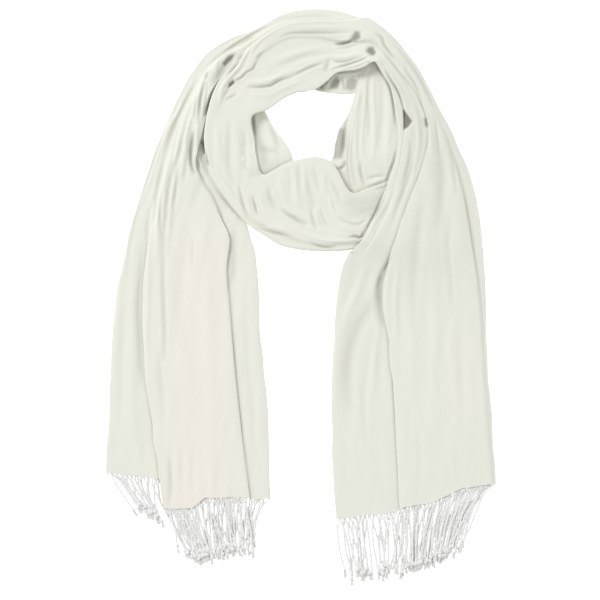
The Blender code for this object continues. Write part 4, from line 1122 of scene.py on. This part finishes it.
def mesh_object(name, points, faces, material, attributes=None, uv=None):
    """An object from millimetre points and faces, with point attributes and a UV for each point."""
    mesh = bpy.data.meshes.new(name)
    mesh.from_pydata((np.asarray(points) * MM).tolist(), [], [list(map(int, f)) for f in faces])
    for key, values in (attributes or {}).items():
        layer = mesh.attributes.new(key, "FLOAT", "POINT")
        layer.data.foreach_set("value", np.asarray(values, np.float32).ravel())
    if uv is not None:
        layer = mesh.uv_layers.new(name="weave")
        corners = np.empty(len(mesh.loops), int)
        mesh.loops.foreach_get("vertex_index", corners)
        layer.data.foreach_set("uv", np.asarray(uv, np.float32)[corners].ravel())
    mesh.shade_smooth()
    mesh.materials.append(material)
    made = bpy.data.objects.new(name, mesh)
    bpy.context.scene.collection.objects.link(made)
    return made


WARM_X, WARM_WIDTH = -115, 45  # the middle and half width of the warm strip down the left tail
WARM_BELOW, WARM_BLEND = 140, 120  # it begins at this Y and is full this much lower
PLAIN_TONE, STRIP_TONE = 0.15, 0.85


def tone_of(points):
    """How warm the cloth is at each point: most down the middle of the left tail."""
    x, y = points[:, 0], points[:, 1]
    strip = bell((x - WARM_X) / WARM_WIDTH) * eased((WARM_BELOW - y) / WARM_BLEND)
    return np.clip(PLAIN_TONE + STRIP_TONE * strip + bumps(TONE_BUMPS, x, y, 0), 0, 1)


def every_other(values, kept):
    """Every other one of a run of numbers, with its last, and all of those that are kept."""
    chosen = [v for i, v in enumerate(values) if i % 2 == 0 or i == len(values) - 1 or v in kept]
    return np.array(chosen)


def end_faces(posts, count, outer_start, inner_start):
    """Faces that close one end of a shell, from each point of its coarser inside to the next."""
    for i, post in enumerate(posts):
        beyond = posts[(i + 1) % len(posts)] + (count if i == len(posts) - 1 else 0)
        edge = [outer_start + c % count for c in range(post, beyond + 1)]
        yield edge + [inner_start + (i + 1) % len(posts), inner_start + i]


def cloth_piece(name, sheet, first, last):
    """One stretch of a sheet as a thin shell, with a coarser inside, shaded as if the sheet were whole."""
    grid = sheet.grid[first : last + 1]
    normals = sheet.normals[first : last + 1]
    rows, count = grid.shape[:2]
    sides = set(range(count)) - set(range(sheet.first_top + 1, sheet.first_top + COLUMNS - 1))
    lines = every_other(range(rows), ())
    posts = every_other(range(count), sides)
    inside = (grid - CLOTH_THICKNESS * normals)[lines][:, posts].reshape(-1, 3)
    inside[:, 2] = np.maximum(inside[:, 2], LEAST_LINING)
    outside = grid.reshape(-1, 3)
    size = len(outside)
    skin = ring_faces(rows, count)
    lining = ring_faces(len(lines), len(posts))[:, ::-1] + size
    if sheet.flipped:
        skin, lining = skin[:, ::-1], lining[:, ::-1]
    points = np.vstack([outside, inside])
    faces = skin.tolist() + lining.tolist()
    corner_normals = [normals.reshape(-1, 3)[skin.ravel()]]
    corner_normals.append(-normals[lines][:, posts].reshape(-1, 3)[(lining - size).ravel()])
    for end, outer_start, inner_start in ((0, 0, size), (1, size - count, len(points) - len(posts))):
        for edge in end_faces(posts, count, outer_start, inner_start):
            if (end == 0) != sheet.flipped:
                edge = edge[::-1]
            faces.append(edge)
            corners = points[edge]
            facing = np.cross(corners[2] - corners[0], corners[-1] - corners[0])
            facing /= np.linalg.norm(facing) + 1e-12
            corner_normals.append(np.tile(facing, (len(edge), 1)))
    ring = np.array([along(line) for line in grid])
    run = np.repeat(sheet.length[first : last + 1, None], count, axis=1)
    uv = np.stack([run, ring], axis=2) * MM
    # the painted shade of creases, pits and folds, kept as a point attribute for the material
    grip = np.clip(sheet.grip[first : last + 1], 0, 1)
    tone = tone_of(outside).reshape(rows, count)

    def both(values):
        """The outside's values, and those of them that the inside takes."""
        flat = values.reshape(size, -1)
        return np.vstack([flat, values[lines][:, posts].reshape(len(inside), -1)])

    attributes = {"grip": both(grip).ravel(), "tone": both(tone).ravel()}
    made = mesh_object(name, points, faces, CLOTH, attributes, both(uv))
    made.data.normals_split_custom_set(np.vstack(corner_normals).tolist())
    return made


# ---------------------------------------------------------------- building the cloth

UNDER_SPACING = [(0, 2.2), (5, 2.0), (8, 1.3), (23, 1.25)]
OVER_SPACING = [(0, 1.3), (12, 1.2), (28, 1.2), (33, 1.9), (40, 2.2)]
LOOP_SPACING = [(0, 1.3), (10, 1.3)]
UNDER_FOLDS = [Fold(LEFT_PANEL_FOLD), Fold(RIGHT_PANEL_FOLD)]
OVER_FOLDS = [
    Fold(COWL_ROLL, last=11),
    Fold(RIM_FOLD, first=8),
    Fold(RIGHT_EDGE_FOLD, first=15),
    Fold(RIGHT_STRIP_FOLD, first=18, last=36),
]
UNDER = Sheet(UNDER_SECTIONS, UNDER_FOLDS, UNDER_CREASES, UNDER_PITS, UNDER_SPACING, 3, 100, LEFT_HEM, 0)
DROP = Sheet(DROP_SECTIONS, [Fold(DROP_INNER_FOLD)], DROP_CREASES, DROP_PITS, LOOP_SPACING, 3, 200)
INNER = Sheet(INNER_SECTIONS, [Fold(INNER_CREASE)], INNER_CREASES, [], LOOP_SPACING, 3, 300)
OVER = Sheet(OVER_SECTIONS, OVER_FOLDS, OVER_CREASES, OVER_PITS, OVER_SPACING, 4, 400, RIGHT_HEM, -1)

# stations at which one stretch goes on into the next
LEFT_TURN, CROSSING, SHOULDER = 8, 20, 10


def build_cloth():
    """Lays the low stretches on the surface, and the upper one on them and at last on itself."""
    for sheet in (UNDER, DROP, INNER):
        sheet.lay(0, sheet.rows, Floor())
        sheet.build()
    low = [UNDER.tree(), DROP.tree(), INNER.tree()]
    turn, crossing = OVER.row_at(LEFT_TURN), OVER.row_at(CROSSING)
    OVER.lay(0, OVER.rows, Draped(low))
    OVER.build()
    low.append(OVER.tree(0, turn))
    OVER.lay(crossing, OVER.rows, Draped(low))
    OVER.build()
    return turn, crossing


turn_row, crossing_row = build_cloth()
shoulder_row = UNDER.row_at(SHOULDER)

# A stretch of cloth: its CAD node, the sheet and the rows that it shows, the flat cut as it is modelled,
# all round its folded section, and the nodes that it rests on.
Stretch = namedtuple("Stretch", "node sheet first last flat rests_on")

STRETCHES = [
    Stretch("tail_left", UNDER, 0, shoulder_row, (0.343, 0.373), []),
    Stretch("neck_under", UNDER, shoulder_row, UNDER.rows - 1, (0.156, 0.260), []),
    Stretch("loop_drop", DROP, 0, DROP.rows - 1, (0.151, 0.161), []),
    Stretch("loop_inner", INNER, 0, INNER.rows - 1, (0.115, 0.078), []),
    Stretch("loop_front", OVER, 0, turn_row, (0.209, 0.169), ["loop_drop", "loop_inner", "tail_left"]),
    Stretch("neck_over", OVER, turn_row, crossing_row, (0.190, 0.235), ["neck_under", "loop_inner"]),
    Stretch(
        "tail_right", OVER, crossing_row, OVER.rows - 1, (0.301, 0.536),
        ["neck_under", "loop_drop", "loop_front"],
    ),
]


def cloth_name(node_name):
    return node_name + "_cloth"


cloths = {s.node: cloth_piece(cloth_name(s.node), s.sheet, s.first, s.last) for s in STRETCHES}


# ---------------------------------------------------------------- fringe

# A row of fringe: the CAD node that it replaces, whose name ends in its layer, the shares of the hem
# between which it runs, the line of its tips, how far its first and last strands bow to the left, and
# how many strands it has.
FringeRow = namedtuple("FringeRow", "node first last tips bows strands")

LEFT_FRINGE = [
    ("fringe_left_outer_1", 0.015, 0.30, [(-178, -233), (-166, -242), (-148, -251)], (0, 5), 10),
    ("fringe_left_outer_2", 0.03, 0.31, [(-173, -228), (-160, -239), (-143, -246)], (0, 4), 9),
    ("fringe_left_main_1", 0.37, 0.84, [(-130, -283), (-104, -289), (-72, -281)], (-2, 4), 14),
    ("fringe_left_main_2", 0.38, 0.85, [(-120, -290), (-96, -284), (-66, -276)], (3, -2), 13),
    ("fringe_left_main_3", 0.355, 0.83, [(-126, -285), (-104, -291), (-64, -283)], (-2, 3), 14),
    ("fringe_left_main_4", 0.365, 0.85, [(-117, -291), (-90, -284), (-55, -280)], (2, 2), 14),
    ("fringe_left_inner_1", 0.90, 0.985, [(-62, -271), (-50, -277)], (2, 5), 4),
    ("fringe_left_inner_2", 0.91, 0.975, [(-57, -264), (-49, -268)], (2, 4), 3),
]
RIGHT_FRINGE = [
    ("fringe_right_main_1", 0.01, 0.595, [(173, -274), (156, -288), (138, -297), (109, -304)], (6, 0), 15),
    ("fringe_right_main_2", 0.03, 0.59, [(171, -283), (148, -293), (114, -300)], (4, -2), 14),
    ("fringe_right_main_3", 0.02, 0.60, [(170, -276), (146, -295), (104, -302)], (5, 2), 15),
    ("fringe_right_main_4", 0.04, 0.595, [(173, -281), (152, -292), (110, -307)], (5, -1), 14),
    ("fringe_right_inner_1", 0.612, 0.985, [(104, -307), (78, -313), (50, -307)], (-2, 2), 13),
    ("fringe_right_inner_2", 0.62, 0.97, [(108, -301), (84, -307), (58, -313)], (3, -2), 12),
]

# heights of each layer, from the lowest one up
ROOT_HEIGHTS = (2.2, 2.6, 2.9, 3.1)
TIP_HEIGHTS = (1.3, 2.0, 2.8, 3.6)

STRAND_SIDES, LEG_SIDES, FIBRE_SIDES = 7, 5, 4
STRAND_RADIUS = 1.15
ROOT_TAPER = np.linspace(0.75, 1.0, 3)  # how thick the first rings of the twist are
OVERLAP = 2  # rings over which the legs run into the twist, on either side
STRAND_STEP = 0.9  # between a strand's rings
UNEVEN_SHARE, UNEVEN_RATE = 0.08, 1.3  # how much a strand's thickness changes along it, and how fast
TWIST_PITCH, TWIST_DEPTH = 7.0, 0.13
SWAYS = ((1.6, 0.9, 1.4), (0.7, 2.5, 3.8))  # how far a strand wanders off its line, in how many waves
LAST_PHASE = 6  # a wave starts at any angle up to this one
FALL = 1.15  # how fast a strand comes to the height of its tip
ARCHING = (-0.4, 0.7)  # how far a strand's middle sinks or rises
RIPPLE, RIPPLE_RATE = 0.3, 7
UNDER_STRAND = 0.25  # the least gap between a strand and the surface
CLEAR_RADII = 1.16  # the height of its middle in radii, at the least
LEG_LENGTH = 12.0  # over this length two bundles of loose warp come together into one strand
LEG_SPREAD, LEG_VARIES = 2.4, (-0.8, 0.6)
LEG_RADIUS = 0.7
ROOT_INSIDE = 1.5  # how far the strands start inside the hem
ROOT_SCATTER = 0.3  # in gaps between two strands
PLAIN_HEM = 4.8  # where the hem's top is higher than this, the roots rise with it
SWAP_EVERY, SWAP_CHANCE = 3, 0.55  # how often two neighbours cross on the way to their tips
TIP_SCATTER = (3.2, 2.8)
BOW_SCATTER = 1.6
TIP_LIFT, ROOT_LIFT = 0.55, 0.3  # every other strand's tip lies higher, and its root by a share of that
KNOT_AT, KNOT_VARIES = 0.885, 2.0  # a share of the strand's length, and how far knots lie from it
KNOT_RADIUS, KNOT_WIDTH = 2.4, 1.55
KNOT_END = 2.4  # past the knot's middle the strand opens into its tuft
TUFT_FIBRES = 6
FIBRE_STEPS = np.linspace(0, 1, 5)
FIBRE_LENGTH, FIBRE_SPREAD, FIBRE_ENDS = (5.0, 8.5), (1.0, 2.0), (0.6, 1.6)  # the ends are heights
FIBRE_FAN = 0.7  # below 1, so the fibres part soon after the knot
FIBRE_CURL, FIBRE_TURN = 0.5, 5
FIBRE_RADIUS, FIBRE_TAPER = 0.74, 0.7
FIBRE_HEIGHT = 0.75  # at the least


class Bundle:
    """Points and faces of many tubes in one mesh."""

    def __init__(self):
        self.points, self.faces, self.count = [], [], 0

    def tube(self, path, radii, sides, lobes=0, pitch=1.0, depth=0.0, start=0.0):
        """A tube along the path. Lobes that turn round it make it a twisted yarn."""
        path = np.asarray(path, float)
        ahead = np.gradient(path, axis=0)
        ahead /= np.linalg.norm(ahead, axis=1)[:, None]
        side = np.cross(ahead, [0.0, 0.0, 1.0])
        side /= np.linalg.norm(side, axis=1)[:, None] + 1e-9
        up = np.cross(side, ahead)
        run = along(path)
        angle = np.linspace(0, 2 * math.pi, sides, endpoint=False)
        turn = start + 2 * math.pi * run / pitch
        swell = 1 + depth * np.cos(lobes * (angle[None, :] - turn[:, None] / max(lobes, 1)))
        radius = np.asarray(radii)[:, None] * swell
        out = np.cos(angle)[None, :, None] * side[:, None] + np.sin(angle)[None, :, None] * up[:, None]
        ring = path[:, None] + radius[..., None] * out
        rows = len(path)
        self.points.append(ring.reshape(-1, 3))
        faces = ring_faces(rows, sides) + self.count
        self.faces += faces.tolist()
        self.faces.append(list(range(self.count, self.count + sides)))
        self.faces.append(list(range(self.count + (rows - 1) * sides, self.count + rows * sides))[::-1])
        self.count += rows * sides

    def object(self, name):
        return mesh_object(name, np.vstack(self.points), self.faces, YARN)


def strand_path(rng, root, tip, z_root, z_tip, bow):
    """A strand's line from its root to its tip, and the direction to its left."""
    chord = tip - root
    length = np.linalg.norm(chord)
    left = np.array([chord[1], -chord[0]]) / length
    share = np.linspace(0, 1, int(length / STRAND_STEP))
    wander = bow * np.sin(math.pi * share)
    for far, fewest, most in SWAYS:
        amount, waves, phase = rng.uniform(-far, far), rng.uniform(fewest, most), rng.uniform(0, LAST_PHASE)
        wander += amount * np.sin(2 * math.pi * share * waves + phase) * share
    flat = root + share[:, None] * chord + wander[:, None] * left
    z = z_root + (z_tip - z_root) * eased(share * FALL)
    z = z + rng.uniform(*ARCHING) * np.sin(math.pi * share)
    z = z + RIPPLE * np.sin(RIPPLE_RATE * share + rng.uniform(0, LAST_PHASE)) * share
    z = np.maximum(z, STRAND_RADIUS + UNDER_STRAND)
    return np.column_stack([flat, z]), chord / length, left


def twist(bundle, rng, path, run, first):
    """The twisted part of a strand with its knot. Gives back the place where the tuft begins."""
    knot = KNOT_AT * run[-1] + rng.uniform(-KNOT_VARIES, KNOT_VARIES)
    end = np.searchsorted(run, knot + KNOT_END)
    body, run = path[first:end].copy(), run[first:end]
    radii = STRAND_RADIUS * (1 + UNEVEN_SHARE * np.sin(run * UNEVEN_RATE))
    radii[: len(ROOT_TAPER)] *= ROOT_TAPER
    radii += (KNOT_RADIUS - STRAND_RADIUS) * bell((run - knot) / KNOT_WIDTH)
    body[:, 2] = np.maximum(body[:, 2], radii * CLEAR_RADII)
    start = rng.uniform(0, LAST_PHASE)
    bundle.tube(body, radii, STRAND_SIDES, lobes=2, pitch=TWIST_PITCH, depth=TWIST_DEPTH, start=start)
    return body[-1]


def tuft(bundle, rng, start, ahead, left):
    """Loose fibres that spread out past a knot."""
    steps = FIBRE_STEPS
    for fibre in range(TUFT_FIBRES):
        spread = (fibre / (TUFT_FIBRES - 1) - 0.5) * 2
        reach = rng.uniform(*FIBRE_LENGTH)
        sideways = spread * rng.uniform(*FIBRE_SPREAD) * steps**FIBRE_FAN
        sideways = sideways + FIBRE_CURL * np.sin(FIBRE_TURN * steps + fibre) * steps
        line = start[:2] + steps[:, None] * reach * ahead + sideways[:, None] * left
        height = start[2] + (rng.uniform(*FIBRE_ENDS) - start[2]) * steps
        path = np.column_stack([line, np.maximum(height, FIBRE_HEIGHT)])
        bundle.tube(path, FIBRE_RADIUS * (1 - FIBRE_TAPER * steps**2), FIBRE_SIDES)


def strand(bundle, rng, root, tip, z_root, z_tip, bow, leg_side):
    """One strand: two legs out of the hem, the twist with its knot, and its tuft."""
    path, ahead, left = strand_path(rng, root, tip, z_root, z_tip, bow)
    run = along(path)
    joined = np.searchsorted(run, LEG_LENGTH)
    tuft_start = twist(bundle, rng, path, run, max(joined - OVERLAP, 0))
    for side in (-1, 1):
        leg = path[: joined + OVERLAP].copy()
        away = (1 - eased(run[: joined + OVERLAP] / LEG_LENGTH)) * side * (LEG_SPREAD + leg_side)
        leg[:, :2] += away[:, None] * left
        bundle.tube(leg, np.full(len(leg), LEG_RADIUS), LEG_SIDES)
    tuft(bundle, rng, tuft_start, ahead, left)


def fringe(row, sheet):
    """One row of fringe, its strands side by side from the hem to the line of its tips."""
    layer = int(row.node[-1]) - 1
    height, tip_height = ROOT_HEIGHTS[layer], TIP_HEIGHTS[layer]
    rng = np.random.default_rng(int(1000 * row.first) + row.strands * 7 + int(10 * height))
    bundle = Bundle()
    end = sheet.hem_end
    shares = np.linspace(row.first, row.last, row.strands)
    shares += rng.uniform(-ROOT_SCATTER, ROOT_SCATTER, row.strands) * (shares[1] - shares[0])
    places = shares * sheet.width[end]
    roots = sheet.spots(end, places) - sheet.past() * ROOT_INSIDE
    raised = np.maximum(0.0, sheet.top(end, places)[1] - PLAIN_HEM)
    order = np.arange(row.strands)
    for i in range(0, row.strands - 1, SWAP_EVERY):
        if rng.uniform() < SWAP_CHANCE:
            order[i], order[i + 1] = order[i + 1], order[i]
    tips = curve(row.tips, row.strands)[order] + rng.normal(0, 1.0, (row.strands, 2)) * TIP_SCATTER
    bows = np.linspace(*row.bows, row.strands) + rng.normal(0, BOW_SCATTER, row.strands)
    for i in range(row.strands):
        lift = TIP_LIFT * (i % 2)
        root_height = height + raised[i] + ROOT_LIFT * lift
        leg_side = rng.uniform(*LEG_VARIES)
        strand(bundle, rng, roots[i], tips[i], root_height, tip_height + lift, bows[i], leg_side)
    made = bundle.object(row.node + "_yarn")
    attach(made, "root")
    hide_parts(row.node)
    return made


fringes = {
    "tail_left": [fringe(FringeRow(*row), UNDER) for row in LEFT_FRINGE],
    "tail_right": [fringe(FringeRow(*row), OVER) for row in RIGHT_FRINGE],
}


# ---------------------------------------------------------------- what each piece is

for stretch in STRETCHES:
    cloth = cloths[stretch.node]
    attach(cloth, "root")
    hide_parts(stretch.node)


# ---------------------------------------------------------------- studio

PHOTO_WIDTH = 0.66  # metres across the frame, at the cloth's mean height
PHOTO_CENTRE = (-0.00165, -0.00275)
CAMERA_HEIGHT = 5.0
MEAN_HEIGHT = 0.008
SENSOR_WIDTH = 36.0
WORLD_LIGHT = 0.64
PAPER_HALF = 6.0
PAPER_DROP = 0.0004  # keeps the paper clear of the underside

Lamp = namedtuple("Lamp", "name place size power")

LAMPS = [Lamp("key", (-3.6, 3.2, 4.6), 2.4, 238.0), Lamp("fill", (1.6, -1.0, 3.0), 2.6, 15.0)]


def place_camera(scene):
    """A camera far above that looks straight down."""
    camera = bpy.data.cameras.new("camera")
    camera.sensor_width = SENSOR_WIDTH
    camera.sensor_fit = "HORIZONTAL"
    camera.lens = SENSOR_WIDTH * (CAMERA_HEIGHT - MEAN_HEIGHT) / PHOTO_WIDTH
    camera.clip_end = 50.0
    holder = bpy.data.objects.new("camera", camera)
    holder.location = (*PHOTO_CENTRE, CAMERA_HEIGHT)
    scene.collection.objects.link(holder)
    scene.camera = holder


def light_world(scene):
    """Even white light from all round."""
    world = bpy.data.worlds.new("studio")
    world.use_nodes = True
    background = world.node_tree.nodes["Background"]
    feed(world.node_tree, background, {"Color": (1.0, 1.0, 1.0, 1.0), "Strength": WORLD_LIGHT})
    scene.world = world


def hang_lamp(scene, lamp):
    """A round soft lamp that faces the origin."""
    light = bpy.data.lights.new(lamp.name, "AREA")
    light.shape = "DISK"
    light.size = lamp.size
    light.energy = lamp.power
    holder = bpy.data.objects.new(lamp.name, light)
    holder.location = lamp.place
    holder.rotation_euler = (Vector((0, 0, 0)) - Vector(lamp.place)).to_track_quat("-Z", "Y").to_euler()
    scene.collection.objects.link(holder)


def paper_material():
    """White paper that is bright enough to show as plain white."""
    material, tree, shader = new_material("paper")
    look = {
        "Base Color": (0.95, 0.95, 0.95, 1.0),
        "Roughness": 1.0,
        "Specular IOR Level": 0.0,
        "Emission Color": (1.0, 1.0, 1.0, 1.0),
        "Emission Strength": 0.6,
    }
    feed(tree, shader, look)
    return material


def lay_paper(scene):
    """The flat white floor of the studio."""
    half = PAPER_HALF
    corners = [(-half, -half, 0), (half, -half, 0), (half, half, 0), (-half, half, 0)]
    mesh = bpy.data.meshes.new("floor")
    mesh.from_pydata(corners, [], [(0, 1, 2, 3)])
    mesh.materials.append(paper_material())
    floor = bpy.data.objects.new("floor", mesh)
    floor.location.z = -PAPER_DROP
    scene.collection.objects.link(floor)


def studio():
    scene = bpy.context.scene
    place_camera(scene)
    light_world(scene)
    for lamp in LAMPS:
        hang_lamp(scene, lamp)
    lay_paper(scene)
    scene.view_settings.view_transform = "Standard"


studio()
